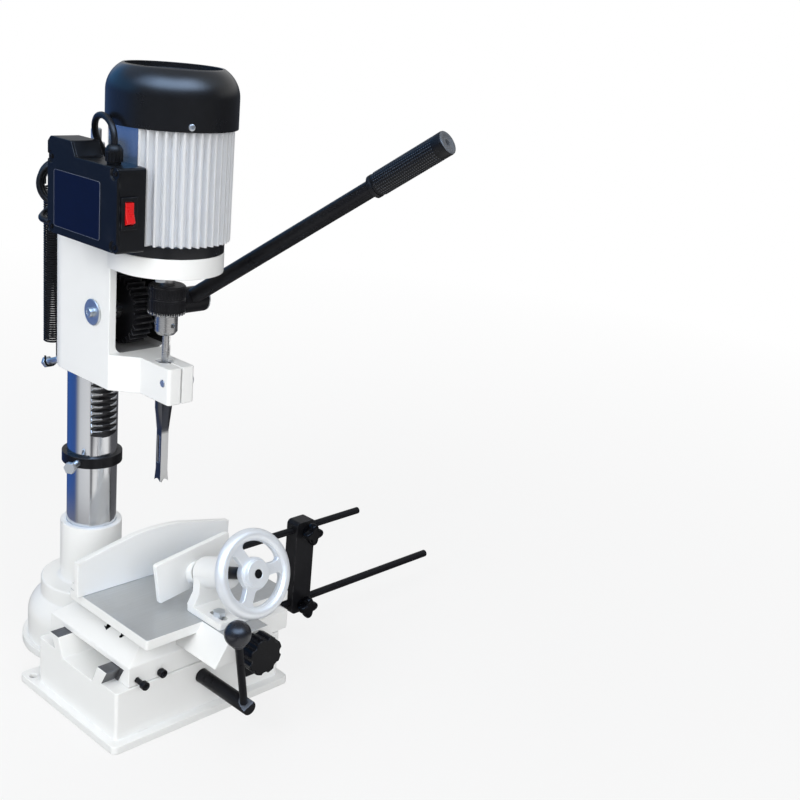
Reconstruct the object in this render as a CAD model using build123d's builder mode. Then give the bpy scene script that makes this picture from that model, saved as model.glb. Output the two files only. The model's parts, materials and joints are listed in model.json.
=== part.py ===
from build123d import *
import math
import os

# Bench mortising machine in millimetres.
# +Z is up, -Y faces the operator, the column axis is the Z axis and the base stands on z = 0.

# Fits
run_gap = 0.05
slide_gap = 0.3
hole_gap = 0.25
backlash = 0.3
edge_match = 0.01

# Column, rack and depth collar
column_r = 30.0
column_foot_z = 16.0
column_top_z = 535.0
rack_module = 2.5
rack_pitch_depth = 3.0
rack_bottom_z = 281.0
rack_top_z = 508.0
pressure_angle = 20.0
gear_root = 1.25
rack_cut = 1.0
collar_r = 36.2
collar_z = 241.8
collar_h = 13.1
collar_bolt_angle = 209.4
collar_bolt_r = 4.0
collar_bolt_reach = 21.0
collar_bolt_af = 13.0
collar_bolt_head = 5.5

# Stud and arm that hold the return spring
cap_r = 28.0
cap_h = 3.0
cap_round = 1.2
stud_r = 6.0
stud_depth = 24.0
stud_past = 16.0
stud_chamfer = 1.2
nut_af = 19.0
nut_h = 10.0
arm_boss_r = 12.0
arm_boss_z = 587.6
arm_boss_h = 28.4
arm_t = 8.0
arm_root_h = 19.0
arm_end_r = 10.0
arm_end_z = 581.0
spring_y = 95.0
hook_hole_r = 3.2
hook_hole_drop = 3.0

# Return spring
spring_wire_r = 1.25
spring_r = 8.2
spring_top_z = 560.0
spring_bottom_z = 368.0
spring_turns = 44
hook_lead = 6.0
hook_bend = 2.6

# Base casting
plinth_half = 125.5
plinth_front = -244.3
plinth_back = -45.6
plinth_h = 9.7
plinth_corner = 7.0
drum_plinth_r = 83.0
ear_hole_x = 116.0
ear_hole_y = -61.5
ear_hole_r = 4.5
block_half = 116.5
block_front = -233.4
block_back = -74.6
block_corner = 4.0
casting_wall = 11.0
ledge_z = 68.3
way_top_z = 86.0
way_back = -98.6
way_front = -214.7
way_flat_back = -116.6
way_flat_front = -196.3
way_undercut = 10.2
trough_z = 63.0
trough_back = -126.0
trough_front = -186.0
pocket_top_z = 54.0
web_back = -112.0
web_front = -124.0
drum_r = 76.3
drum_wall_z = 40.0
drum_top_z = 66.0
disc_r = 60.7
disc_top_z = 87.0
disc_round = 3.0
drum_bulge = 0.3
socket_r = 37.3
socket_top_z = 163.0
socket_foot_round = 5.0
neck_half = 62.0

# Feed shaft, pinion and ball lever
feed_z = 50.0
feed_shaft_r = 8.5
feed_front = -320.0
feed_module = 2.0
feed_teeth = 28
feed_pinion_y = -157.0
feed_pinion_w = 16.0
feed_rack_w = 18.0
feed_rack_half = 72.0
lever_foot_y = -310.0
ball_lever_l = 160.0
ball_lever_tilt = 21.0
ball_lever_lean = -25.0
ball_lever_r = 4.3
ball_lever_screw = 6.0
lever_flat = 2.0
ball_r = 14.0
ball_neck_r = 8.0
ball_neck_h = 5.0

# Cross slide: saddle, gib and table
cross_x = 15.2
saddle_half = 114.2
saddle_front = -231.0
saddle_back = -71.7
saddle_edge_z = 93.0
saddle_top_z = 116.2
saddle_slope_x = 40.0
saddle_slope_y = 24.0
gib_t = 4.5
gib_screw_r = 3.0
gib_screw_head_r = 5.0
gib_screw_head_h = 6.0
gib_screw_z = 75.0
gib_screw_places = ((-102.9, 11.0), (-72.8, 1.5), (74.3, 1.5))
table_half = 101.2
table_front = -244.5
table_back = -90.0
table_top_z = 128.8
table_under_z = 116.5
table_corner = 3.0
slide_foot_z = 98.0
slide_foot_half = 47.0
slide_top_half = 27.0
apron_front = -294.8
screw_slot_half = 13.0
screw_slot_top = 121.0
apron_wall = 13.0
cross_screw_z = 112.0
cross_screw_r = 7.0
cross_screw_back = -168.0
cross_collar_r = 8.6
cross_collar_w = 5.0
nut_block_half = 11.0
nut_block_front = -216.0
nut_block_back = -196.0
nut_block_top = 119.0
star_knob_r = 22.5
star_lobes = 8
star_lobe_r = 5.6
star_front = -325.0
star_back = -304.0
star_hub_r = 12.0
star_hub_h = 8.0

# Fence
fence_face_y = -118.2
fence_t = 8.0
fence_half = 108.0
fence_end_z = 172.0
fence_shoulder_z = 187.5
fence_shoulder_x = 35.0
fence_peak_z = 190.0
fence_foot_back = -93.0
fence_foot_h = 8.0
fence_bolt_x = 60.0
fence_bolt_y = -101.5
fence_bolt_r = 4.0
bolt_floor = 1.0
small_bolt_af = 13.0
small_bolt_head = 5.5

# Clamp: bracket, plate, screw and handwheel
clamp_tilt = 21.0
wheel_y = -304.5
wheel_z = 204.5
wheel_r = 50.0
rim_r = 7.0
wheel_web_t = 8.0
wheel_hub_r = 15.0
wheel_hub_l = 20.0
window_inner_r = 18.5
window_outer_r = 37.0
window_round = 5.0
spoke_w = 13.0
wheel_spokes = 3
clamp_screw_r = 7.0
clamp_tip_r = 5.0
clamp_collar_r = 10.0
boss_r = 18.0
boss_l = 45.0
boss_start = 54.0
bracket_half = 26.0
bracket_front = -274.0
bracket_back = -213.0
bracket_foot_t = 8.5
bracket_wall_t = 12.0
bracket_slot_half = 13.0
bracket_slot_l = 26.0
bracket_slot_y = -256.0
plate_w = 104.0
plate_h = 50.0
plate_t = 6.5
plate_face_y = -186.0
plate_z = 167.0
plate_turn = 8.6
plate_boss_r = 13.0
plate_boss_l = 11.0

# Work stop
stop_y = -152.0
lower_rod_z = 45.4
lower_rod_r = 5.0
lower_rod_end = 465.0
lower_nut_af = 16.0
lower_nut_w = 8.0
upper_rod_z = 150.0
upper_rod_r = 4.5
upper_rod_start = 117.4
upper_rod_end = 317.3
stop_block_x = 215.5
stop_block_half = 15.5
stop_block_t = 20.0
stop_block_bottom = 33.0
stop_block_top = 163.0
stop_block_round = 6.0
lobe_knob_r = 15.0
lobe_knob_lobe = 6.5
lobe_knob_lobes = 4
lobe_knob_t = 13.0
lobe_knob_neck = 6.0
lobe_knob_screw = 3.0

# Head casting
head_half = 42.0
head_front = -95.0
head_bottom_z = 364.0
head_top_z = 533.0
head_wall = 9.5
window_bottom_z = 406.0
flange_t = 22.0
window_corner = 9.0
window_back = -4.0
flange_half = 60.0
flange_back = -118.0
flange_root = -90.0
flange_hole_r = 22.0
nose_half = 17.4
nose_start = -122.0
nose_front = -175.0
nose_corner = 4.0
split_w = 2.0
pinch_y = -162.5
pinch_z = 387.0
pinch_r = 4.0
pinch_head_r = 6.5
pinch_head_h = 8.0
spring_bolt_tilt = 21.5
spring_bolt_y = 71.0
spring_bolt_z = 351.0
spring_bolt_r = 4.0
spring_bolt_af = 13.0
spring_bolt_out = 38.0
spring_boss_r = 10.0
spring_boss_y = 66.0
spring_boss_in = 36.0
spring_bolt_in = 16.0
spring_nut_h = 6.0

# Pinion shaft and feed handle
pinion_teeth = 30
pinion_z = 448.0
pinion_w = 24.0
pinion_shaft_r = 10.0
hub_r = 17.5
hub_neck_r = 15.5
hub_neck_x = 62.0
hub_end_x = 108.0
end_washer_r = 15.0
end_washer_t = 2.5
end_bolt_af = 17.0
end_bolt_head = 6.5
end_bolt_r = 5.0
end_bolt_depth = 16.0
handle_x = 86.6
handle_rise = 35.8
handle_splay = 11.4
handle_r = 9.5
handle_l = 372.0
handle_in = 6.0
handle_clear = 3.0
grip_start = 298.0
grip_l = 102.0
grip_r = 13.5
grip_ribs = 20
grip_rib_depth = 0.9
grip_rib_r = 1.6
grip_cap = 6.0
grip_socket = 7.0

# Motor
spindle_y = -142.7
shield_r = 59.7
shield_h = 13.0
motor_core_r = 57.5
motor_bore_r = 48.0
fin_r = 65.5
fin_root_w = 6.4
fin_tip_w = 2.4
fin_count = 44
motor_top_z = 674.0
motor_cap_t = 13.0
box_pad_half = 26.0
bearing_r = 17.5
bearing_w = 11.0
shaft_r = 8.0
rotor_r = 32.0
rotor_bottom_z = 566.0
rotor_top_z = 642.0
air_gap = 0.5
stator_slots = 24
stator_slot_w = 4.0
stator_slot_h = 8.0
winding_r = 42.0
winding_h = 9.0
shaft_top_z = 700.0
shaft_play = 1.0
fan_z = 683.0
fan_h = 16.0
fan_r = 50.0
fan_hub_r = 14.0
fan_blades = 7
fan_blade_t = 2.5
cover_r = 69.2
cover_t = 2.5
cover_lip = 2.4
cover_bottom_z = 664.5
cover_shoulder_z = 696.0
cover_top_z = 724.6
cover_mouth_r = 52.6
cover_dish_z = 716.0
cover_vents = 16
cover_vent_in = 20.0
cover_vent_out = 46.0
cover_vent_w = 4.0
cover_screw_z = 670.0
cover_screw_r = 3.6
cover_screw_t = 2.0
cover_screw_angles = (10.0, 130.0, 250.0)
shield_bolt_ring = 48.0
shield_bolt_r = 3.0
shield_bolt_af = 10.0
shield_bolt_head = 4.5
shield_bolt_depth = 9.0

# Chuck, auger and hollow chisel
chuck_top_z = 493.0
chuck_body_r = 15.5
chuck_sleeve_r = 20.5
chuck_sleeve_z = 461.0
chuck_teeth = 24
chuck_tooth_w = 2.6
chuck_tooth_h = 3.0
chuck_nose_z = 437.0
chuck_nose_r = 12.8
chuck_nose_h = 4.0
chuck_groove_z = 478.0
chuck_groove_w = 2.0
chuck_groove_d = 0.8
chuck_mouth_r = 9.5
chuck_key_hole_r = 2.6
chuck_key_z = 449.0
chuck_key_angles = (-90.0, 30.0, 150.0)
chuck_shaft_z = 480.0
auger_r = 3.75
auger_top_z = 452.0
auger_tip_z = 259.0
auger_point_h = 7.0
chisel_shank_r = 9.5
chisel_top_z = 402.0
chisel_shoulder_z = 351.0
chisel_square_z = 325.0
chisel_side = 9.6
chisel_flare_side = 11.4
chisel_flare_z = 277.0
chisel_tip_z = 262.5
chisel_bore_r = 4.1
chisel_notch_h = 5.0
chisel_slot_w = 5.0
chisel_slot_top = 318.0
chisel_slot_bottom = 285.0

# Switch box and switch
box_out_x = -94.0
box_in_x = -60.0
box_front = -184.5
box_back = -54.4
box_bottom_z = 541.5
box_top_z = 627.5
box_wall = 2.6
box_lid_t = 3.0
lid_round = 1.0
box_corner = 3.0
box_step_front = -107.0
box_step_back = -60.0
box_step_z = 643.0
box_step_slope = 8.0
lid_screw_r = 2.6
lid_screw_t = 1.6
lid_screw_inset = 6.0
lid_recess_r = 6.6
lid_recess_d = 1.8
lid_post_r = 5.0
switch_x = -80.5
switch_z = 582.5
switch_w = 19.0
switch_h = 33.0
bezel_lip = 2.2
bezel_t = 2.4
bezel_depth = 18.0
bezel_wall = 2.0
rocker_play = 0.4
rocker_set = 2.0
rocker_middle = 5.0
rocker_end = 7.0
rocker_back = 4.0
rocker_dip = 9.0

# Mains lead
cord_r = 3.5
gland_x = -80.0
gland_y = -157.0
gland_neck_r = 7.2
gland_neck_h = 3.0
gland_r = 8.9
gland_nut_h = 10.0
gland_ribs = 16
gland_rib_r = 0.8
gland_tip_r = 5.2
gland_l = 20.0
hank_x = -43.5
hank_y = -36.4
hank_z = 586.0
hank_turn = -37.2
hank_half_l = 42.0
hank_half_h = 22.0
hank_loops = 4
hank_step = 8.6
hank_bend = 0.985
lead_points = (
    (-80.0, -157.0, 661.0), (-78.0, -140.0, 673.0), (-74.0, -117.0, 672.0), (-66.0, -98.0, 659.0),
    (-53.0, -84.0, 640.0),
)
lead_bend = 12.0
entry_point = (37.0, -16.0, 26.0)
tail_points = (
    (-70.6, -5.8, 550.0), (-82.4, -20.2, 547.0), (-74.1, -37.0, 545.4), (-57.3, -47.9, 544.8),
    (-46.0, -57.0, 544.8),
)
tail_bend = 7.5
plug_x = -12.0
plug_y = -57.0
plug_w = 36.0
plug_l = 30.0
plug_t = 23.0
plug_round = 5.0
relief_l = 22.0
relief_r = 6.0
relief_tip_r = 4.6
pin_w = 6.3
pin_t = 1.6
pin_l = 17.0
pin_spread = 7.9
pin_slant = 30.0
earth_drop = 10.3

stud_top_z = arm_boss_z + arm_boss_h + nut_h + stud_past
window_top_z = head_top_z - flange_t
base_align = (Align.CENTER, Align.CENTER, Align.MIN)
pinion_r = rack_module * pinion_teeth / 2
rack_pitch_y = -(column_r - rack_pitch_depth)
pinion_y = rack_pitch_y - pinion_r
feed_pinion_r = feed_module * feed_teeth / 2
feed_rack_pitch_z = feed_z + feed_pinion_r


def rod(plane, radius, length, mode=Mode.ADD):
    """Round bar from the plane's origin along its normal."""
    with Locations(plane):
        Cylinder(radius, length, align=base_align, mode=mode)


def hexagon(plane, across_flats, length, mode=Mode.ADD):
    """Hexagonal bar from the plane's origin along its normal."""
    with BuildSketch(plane) as outline:
        RegularPolygon(across_flats / 2, 6, major_radius=False)
    extrude(outline.sketch, amount=length, mode=mode)


def tooth_outline(module, teeth, play):
    """Points of one involute gear tooth that points along +X, thinned by the play."""
    pitch = module * teeth / 2
    angle = math.radians(pressure_angle)
    involute = math.tan(angle) - angle
    half_tooth = (math.pi * module / 4 - play / 2) / pitch

    def flank(radius):
        reach = math.acos(min(1.0, pitch * math.cos(angle) / radius))
        half = half_tooth + involute - (math.tan(reach) - reach)
        return radius * math.cos(half), radius * math.sin(half)

    root = pitch - gear_root * module
    foot_x, foot_y = flank(pitch * math.cos(angle))
    inner = (root - module / 4, foot_y)
    side = [inner, (foot_x, foot_y), flank(pitch), flank(pitch + module - play / 2)]
    return side + [(x, -y) for x, y in reversed(side)], root


def gear_sketch(module, teeth, play):
    """Spur gear section in the sketch that is open."""
    points, root = tooth_outline(module, teeth, play)
    Circle(root)
    with PolarLocations(0, teeth):
        Polygon(*points, align=None)


def rack_gap(module, play, depth_out):
    """Outline of one gap of a rack: the pitch line is y = 0 and the teeth point to +Y."""
    slope = math.tan(math.radians(pressure_angle))
    half = math.pi * module / 4 + play / 2
    root = gear_root * module
    return [
        (-half + slope * root, -root),
        (half - slope * root, -root),
        (half + slope * depth_out, depth_out),
        (-half - slope * depth_out, depth_out),
    ]


# Base casting: plinth, ways, drum and column socket
back_root = way_back - way_undercut
front_root = way_front + way_undercut
with BuildPart() as base_casting:
    with BuildSketch():
        with Locations((0, (plinth_front + plinth_back) / 2)):
            RectangleRounded(2 * plinth_half, plinth_back - plinth_front, plinth_corner)
        Circle(drum_plinth_r)
    extrude(amount=plinth_h)
    with BuildSketch():
        with Locations((0, (block_front + block_back) / 2)):
            RectangleRounded(2 * block_half, block_back - block_front, block_corner)
    extrude(amount=ledge_z)
    with BuildSketch():
        with Locations((0, block_back / 2)):
            Rectangle(2 * neck_half, -block_back)
    extrude(amount=drum_wall_z)
    with BuildSketch(Plane.XZ):
        with BuildLine():
            Polyline((0, 0), (drum_r, 0), (drum_r, drum_wall_z))
            shoulder_r = (drum_r + disc_r) / 2 + drum_bulge * (drum_r - disc_r)
            shoulder = (shoulder_r, (drum_wall_z + drum_top_z) / 2)
            ThreePointArc((drum_r, drum_wall_z), shoulder, (disc_r, drum_top_z))
            Polyline(
                (disc_r, drum_top_z),
                (disc_r, disc_top_z),
                (socket_r, disc_top_z),
                (socket_r, socket_top_z),
                (0, socket_top_z),
                (0, 0),
            )
        make_face()
    revolve(axis=Axis.Z)
    disc_rim = base_casting.edges().filter_by(GeomType.CIRCLE).filter_by(
        lambda edge: abs(edge.radius - disc_r) < edge_match and abs(edge.center().Z - disc_top_z) < edge_match
    )
    fillet(disc_rim, disc_round)
    socket_foot = base_casting.edges().filter_by(GeomType.CIRCLE).filter_by(
        lambda edge: abs(edge.radius - socket_r) < edge_match
        and abs(edge.center().Z - disc_top_z) < edge_match
    )
    fillet(socket_foot, socket_foot_round)
    with BuildSketch(Plane.YZ.offset(-block_half)):
        with BuildLine():
            Polyline(
                (way_back, way_top_z),
                (way_front, way_top_z),
                (front_root, ledge_z),
                (back_root, ledge_z),
                close=True,
            )
        make_face()
    extrude(amount=2 * block_half)
    with BuildSketch(Plane.YZ.offset(-block_half)):
        with BuildLine():
            Polyline(
                (way_flat_back, way_top_z),
                (trough_back, trough_z),
                (trough_front, trough_z),
                (way_flat_front, way_top_z),
                close=True,
            )
        make_face()
    extrude(amount=2 * block_half, mode=Mode.SUBTRACT)
    for pocket_front, pocket_back in (
        (block_front + casting_wall, web_front),
        (web_back, block_back - casting_wall),
    ):
        with BuildSketch():
            with Locations((0, (pocket_front + pocket_back) / 2)):
                RectangleRounded(2 * (block_half - casting_wall), pocket_back - pocket_front, block_corner)
        extrude(amount=pocket_top_z, mode=Mode.SUBTRACT)
    with BuildSketch(Plane.XZ):
        with Locations(((socket_r + drum_r - casting_wall) / 2, drum_wall_z / 2)):
            Rectangle(drum_r - casting_wall - socket_r, drum_wall_z)
    revolve(axis=Axis.Z, mode=Mode.SUBTRACT)
    rod(Plane.XY.offset(column_foot_z), column_r + run_gap, socket_top_z, mode=Mode.SUBTRACT)
    rod(Plane((0, block_front, feed_z), z_dir=(0, 1, 0)), feed_shaft_r + run_gap,
        web_back - block_front, mode=Mode.SUBTRACT)
    with BuildSketch(Plane.XY.offset(pocket_top_z)):
        with Locations((0, feed_pinion_y)):
            Rectangle(2 * (feed_pinion_r + 2 * feed_module), feed_pinion_w + 2 * feed_module)
    extrude(amount=trough_z - pocket_top_z, mode=Mode.SUBTRACT)
    rod(Plane((block_half - casting_wall, stop_y, lower_rod_z), z_dir=(1, 0, 0)), lower_rod_r + run_gap,
        casting_wall, mode=Mode.SUBTRACT)
    with Locations((-ear_hole_x, ear_hole_y, plinth_h), (ear_hole_x, ear_hole_y, plinth_h)):
        Hole(ear_hole_r, depth=plinth_h)

# Column with the rack cut across its front
rack_pitch = math.pi * rack_module
rack_gaps = [
    pinion_z + index * rack_pitch
    for index in range(
        math.ceil((rack_bottom_z - pinion_z) / rack_pitch),
        math.floor((rack_top_z - pinion_z) / rack_pitch) + 1,
    )
]
with BuildPart() as column:
    with BuildSketch(Plane.XY.offset(column_foot_z)):
        Circle(column_r)
    extrude(amount=column_top_z - column_foot_z)
    rack_plane = Plane((0, rack_pitch_y, 0), x_dir=(0, 0, -1), z_dir=(1, 0, 0))
    with BuildSketch(rack_plane):
        with Locations(*[(-z, 0) for z in rack_gaps]):
            Polygon(*rack_gap(rack_module, backlash, rack_pitch_depth + rack_cut), align=None, rotation=180)
        rack_middle = (rack_gaps[0] + rack_gaps[-1]) / 2
        with Locations((-rack_middle, -rack_module - rack_cut)):
            Rectangle(rack_gaps[-1] - rack_gaps[0] + rack_pitch, 2 * rack_cut)
    extrude(amount=column_r, both=True, mode=Mode.SUBTRACT)
    rod(Plane.XY.offset(column_top_z - stud_depth), stud_r + run_gap, stud_depth, mode=Mode.SUBTRACT)

# Cap, stud, arm and nuts on top of the column, and the nut of the lower stop rod
with BuildPart() as column_cap:
    rod(Plane.XY.offset(column_top_z), cap_r, cap_h)
    fillet(column_cap.edges().sort_by(Axis.Z)[-1], cap_round)
    rod(Plane.XY.offset(column_top_z), stud_r + run_gap, cap_h, mode=Mode.SUBTRACT)

with BuildPart() as spring_stud:
    rod(Plane.XY.offset(column_top_z - stud_depth), stud_r, stud_top_z - column_top_z + stud_depth)
    chamfer(spring_stud.edges().sort_by(Axis.Z)[-1], stud_chamfer)

with BuildPart() as hex_nuts:
    for nut_z in (column_top_z + cap_h, arm_boss_z - nut_h, arm_boss_z + arm_boss_h):
        hexagon(Plane.XY.offset(nut_z), nut_af, nut_h)
    rod(Plane.XY.offset(column_top_z), stud_r + run_gap, stud_top_z - column_top_z, mode=Mode.SUBTRACT)
    rod_nut_plane = Plane((block_half, stop_y, lower_rod_z), z_dir=(1, 0, 0))
    hexagon(rod_nut_plane, lower_nut_af, lower_nut_w)
    rod(rod_nut_plane, lower_rod_r + run_gap, lower_nut_w, mode=Mode.SUBTRACT)

with BuildPart() as spring_arm:
    with BuildSketch(Plane.YZ.offset(-arm_t / 2)):
        with Locations((arm_boss_r / 2, arm_boss_z + arm_boss_h / 2)):
            Rectangle(arm_boss_r, arm_root_h)
        with Locations((spring_y, arm_end_z)):
            Circle(arm_end_r)
        make_hull()
    extrude(amount=arm_t)
    rod(Plane.XY.offset(arm_boss_z), arm_boss_r, arm_boss_h)
    rod(Plane.XY.offset(arm_boss_z), stud_r + run_gap, arm_boss_h, mode=Mode.SUBTRACT)
    hook_hole_z = arm_end_z - hook_hole_drop
    rod(Plane((-arm_t / 2, spring_y, hook_hole_z), z_dir=(1, 0, 0)), hook_hole_r, arm_t, mode=Mode.SUBTRACT)

# Depth collar and its bolt
with BuildPart() as depth_collar:
    collar_plane = Plane.XY.offset(collar_z)
    rod(collar_plane, collar_r, collar_h)
    rod(collar_plane, column_r + run_gap, collar_h, mode=Mode.SUBTRACT)
    collar_way = Vector(1, 0, 0).rotate(Axis.Z, collar_bolt_angle)
    bolt_seat = Vector(0, 0, collar_z + collar_h / 2) + collar_way * (column_r + slide_gap)
    rod(Plane(bolt_seat, z_dir=collar_way), collar_bolt_r + run_gap, collar_r, mode=Mode.SUBTRACT)

with BuildPart() as collar_bolt:
    rod(Plane(bolt_seat, z_dir=collar_way), collar_bolt_r, collar_bolt_reach)
    hexagon(Plane(bolt_seat + collar_way * collar_bolt_reach, z_dir=collar_way), collar_bolt_af,
            collar_bolt_head)

# Work stop: two rods, the block between them and its clamp knobs
rod_start_x = block_half - casting_wall
with BuildPart() as lower_stop_rod:
    rod(Plane((rod_start_x, stop_y, lower_rod_z), z_dir=(1, 0, 0)), lower_rod_r, lower_rod_end - rod_start_x)

block_front_y = stop_y - stop_block_t / 2
with BuildPart() as stop_block:
    with BuildSketch(Plane((stop_block_x, block_front_y, 0), x_dir=(1, 0, 0), z_dir=(0, 1, 0))):
        with Locations((0, -(stop_block_bottom + stop_block_top) / 2)):
            RectangleRounded(2 * stop_block_half, stop_block_top - stop_block_bottom, stop_block_round)
    extrude(amount=stop_block_t)
    for bore_z, bore_r in ((lower_rod_z, lower_rod_r), (upper_rod_z, upper_rod_r)):
        rod(Plane((stop_block_x - stop_block_half, stop_y, bore_z), z_dir=(1, 0, 0)), bore_r + run_gap,
            2 * stop_block_half, mode=Mode.SUBTRACT)
        rod(Plane((stop_block_x, block_front_y, bore_z), z_dir=(0, 1, 0)), lobe_knob_screw + run_gap,
            stop_block_t / 2, mode=Mode.SUBTRACT)

with BuildPart() as upper_stop_rod:
    rod(Plane((upper_rod_start, stop_y, upper_rod_z), z_dir=(1, 0, 0)), upper_rod_r,
        upper_rod_end - upper_rod_start)


def lobe_knob(knob_z, rod_r):
    """Four-lobed clamp knob with its screw, on the front of the stop block."""
    seat = Plane((stop_block_x, block_front_y - slide_gap, knob_z), x_dir=(1, 0, 0), z_dir=(0, -1, 0))
    rod(seat, lobe_knob_neck, lobe_knob_neck)
    with BuildSketch(seat.offset(lobe_knob_neck)) as lobes:
        Circle(lobe_knob_r - lobe_knob_lobe / 2)
        with PolarLocations(lobe_knob_r - lobe_knob_lobe, lobe_knob_lobes):
            Circle(lobe_knob_lobe)
    extrude(lobes.sketch, amount=lobe_knob_t)
    screw_l = stop_block_t / 2 - rod_r - slide_gap
    rod(Plane(seat.origin, z_dir=(0, 1, 0)), lobe_knob_screw, screw_l)


with BuildPart() as upper_stop_knob:
    lobe_knob(upper_rod_z, upper_rod_r)

with BuildPart() as lower_stop_knob:
    lobe_knob(lower_rod_z, lower_rod_r)

# Feed shaft with its pinion, and the ball lever
with BuildPart() as feed_shaft:
    shaft_plane = Plane((0, feed_front, feed_z), z_dir=(0, 1, 0))
    rod(shaft_plane, feed_shaft_r, web_back - feed_front)
    with BuildSketch(Plane((0, feed_pinion_y - feed_pinion_w / 2, feed_z), x_dir=(0, 0, 1), z_dir=(0, 1, 0))):
        gear_sketch(feed_module, feed_teeth, backlash)
    extrude(amount=feed_pinion_w)
    lever_way = Vector(0, 0, 1).rotate(Axis.X, ball_lever_tilt).rotate(Axis.Y, ball_lever_lean)
    lever_foot = Vector(0, lever_foot_y, feed_z) + lever_way * (feed_shaft_r - lever_flat)
    with Locations(Plane(lever_foot, z_dir=lever_way)):
        Cylinder(ball_r, feed_shaft_r, align=base_align, mode=Mode.SUBTRACT)
    rod(Plane(lever_foot, z_dir=-lever_way), ball_lever_r + run_gap, ball_lever_screw, mode=Mode.SUBTRACT)

ball_centre = Vector(0, lever_foot_y, feed_z) + lever_way * ball_lever_l
with BuildPart() as feed_lever:
    lever_start = lever_foot - lever_way * ball_lever_screw
    rod(Plane(lever_start, z_dir=lever_way), ball_lever_r, (ball_centre - lever_start).length)

with BuildPart() as feed_ball:
    with Locations(ball_centre):
        Sphere(ball_r)
    ball_foot = ball_centre - lever_way * (ball_r + ball_neck_h)
    rod(Plane(ball_foot, z_dir=lever_way), ball_neck_r, ball_r)
    rod(Plane(ball_foot, z_dir=lever_way), ball_lever_r + run_gap, ball_r + ball_neck_h, mode=Mode.SUBTRACT)

# Saddle on the ways, with its gib, gib screws and feed rack
way_slope = way_undercut / (way_top_z - ledge_z)
way_sine = math.cos(math.atan(way_slope))
way_play = slide_gap / way_sine
gib_play = gib_t / way_sine


def back_flank(z, play):
    """Point on the rear dovetail flank at height z, moved out by the play."""
    return back_root + (z - ledge_z) * way_slope + play, z


def front_flank(z, play):
    """Point on the front dovetail flank at height z, moved out by the play."""
    return front_root - (z - ledge_z) * way_slope - play, z


saddle_foot_z = ledge_z + slide_gap
saddle_floor_z = way_top_z + slide_gap
slide_slope = (slide_foot_half - slide_top_half) / (table_top_z - slide_foot_z)
slide_play = slide_gap / math.cos(math.atan(slide_slope))
groove_z = slide_foot_z - slide_gap


def slide_half(z):
    """Half width of the table's dovetail at height z."""
    return slide_foot_half - (z - slide_foot_z) * slide_slope


with BuildPart() as saddle:
    saddle_y = (saddle_front + saddle_back) / 2
    saddle_l = saddle_back - saddle_front
    with BuildSketch(Plane.XY.offset(saddle_foot_z)):
        with Locations((cross_x, saddle_y)):
            Rectangle(2 * saddle_half, saddle_l)
    extrude(amount=saddle_edge_z - saddle_foot_z)
    with BuildSketch(Plane.XY.offset(saddle_edge_z)):
        with Locations((cross_x, saddle_y)):
            Rectangle(2 * saddle_half, saddle_l)
    with BuildSketch(Plane.XY.offset(saddle_top_z)):
        with Locations((cross_x, saddle_y)):
            Rectangle(2 * (saddle_half - saddle_slope_x), saddle_l - 2 * saddle_slope_y)
    loft(ruled=True)
    with BuildSketch(Plane.YZ.offset(cross_x - saddle_half)):
        with BuildLine():
            Polyline(
                back_flank(saddle_floor_z, way_play),
                front_flank(saddle_floor_z, way_play + gib_play),
                front_flank(ledge_z, way_play + gib_play),
                back_flank(ledge_z, way_play),
                close=True,
            )
        make_face()
    extrude(amount=2 * saddle_half, mode=Mode.SUBTRACT)
    with BuildSketch(Plane((cross_x, saddle_back, 0), x_dir=(1, 0, 0), z_dir=(0, -1, 0))):
        with BuildLine():
            Polyline(
                (-slide_half(groove_z) - slide_play, groove_z),
                (slide_half(groove_z) + slide_play, groove_z),
                (slide_half(saddle_top_z) + slide_play, saddle_top_z),
                (-slide_half(saddle_top_z) - slide_play, saddle_top_z),
                close=True,
            )
        make_face()
    extrude(amount=saddle_l, mode=Mode.SUBTRACT)
    with BuildSketch(Plane.XY.offset(groove_z)):
        with Locations((cross_x, (nut_block_front + nut_block_back) / 2)):
            Rectangle(2 * nut_block_half, nut_block_back - nut_block_front)
    extrude(amount=nut_block_top - groove_z)
    rod(Plane((cross_x, nut_block_front, cross_screw_z), z_dir=(0, 1, 0)), cross_screw_r + run_gap,
        nut_block_back - nut_block_front, mode=Mode.SUBTRACT)
    gib_tip_y = front_flank(gib_screw_z + gib_screw_r, way_play + gib_play)[0]
    for screw_x, stand_off in gib_screw_places:
        rod(Plane((cross_x + screw_x, saddle_front, gib_screw_z), z_dir=(0, 1, 0)), gib_screw_r + run_gap,
            front_root - saddle_front, mode=Mode.SUBTRACT)

with BuildPart() as saddle_gib:
    with BuildSketch(Plane.YZ.offset(cross_x - saddle_half)):
        with BuildLine():
            Polyline(
                front_flank(saddle_floor_z - slide_gap, way_play),
                front_flank(saddle_floor_z - slide_gap, way_play + gib_play),
                front_flank(saddle_foot_z, way_play + gib_play),
                front_flank(saddle_foot_z, way_play),
                close=True,
            )
        make_face()
    extrude(amount=2 * saddle_half)

with BuildPart() as gib_screws:
    for screw_x, stand_off in gib_screw_places:
        head_plane = Plane((cross_x + screw_x, saddle_front - stand_off, gib_screw_z), z_dir=(0, -1, 0))
        rod(head_plane, gib_screw_head_r, gib_screw_head_h)
        hexagon(head_plane.offset(gib_screw_head_h / 2), gib_screw_head_r, gib_screw_head_h / 2,
                mode=Mode.SUBTRACT)
        rod(Plane(head_plane.origin, z_dir=(0, 1, 0)), gib_screw_r, gib_tip_y - saddle_front + stand_off)

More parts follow.
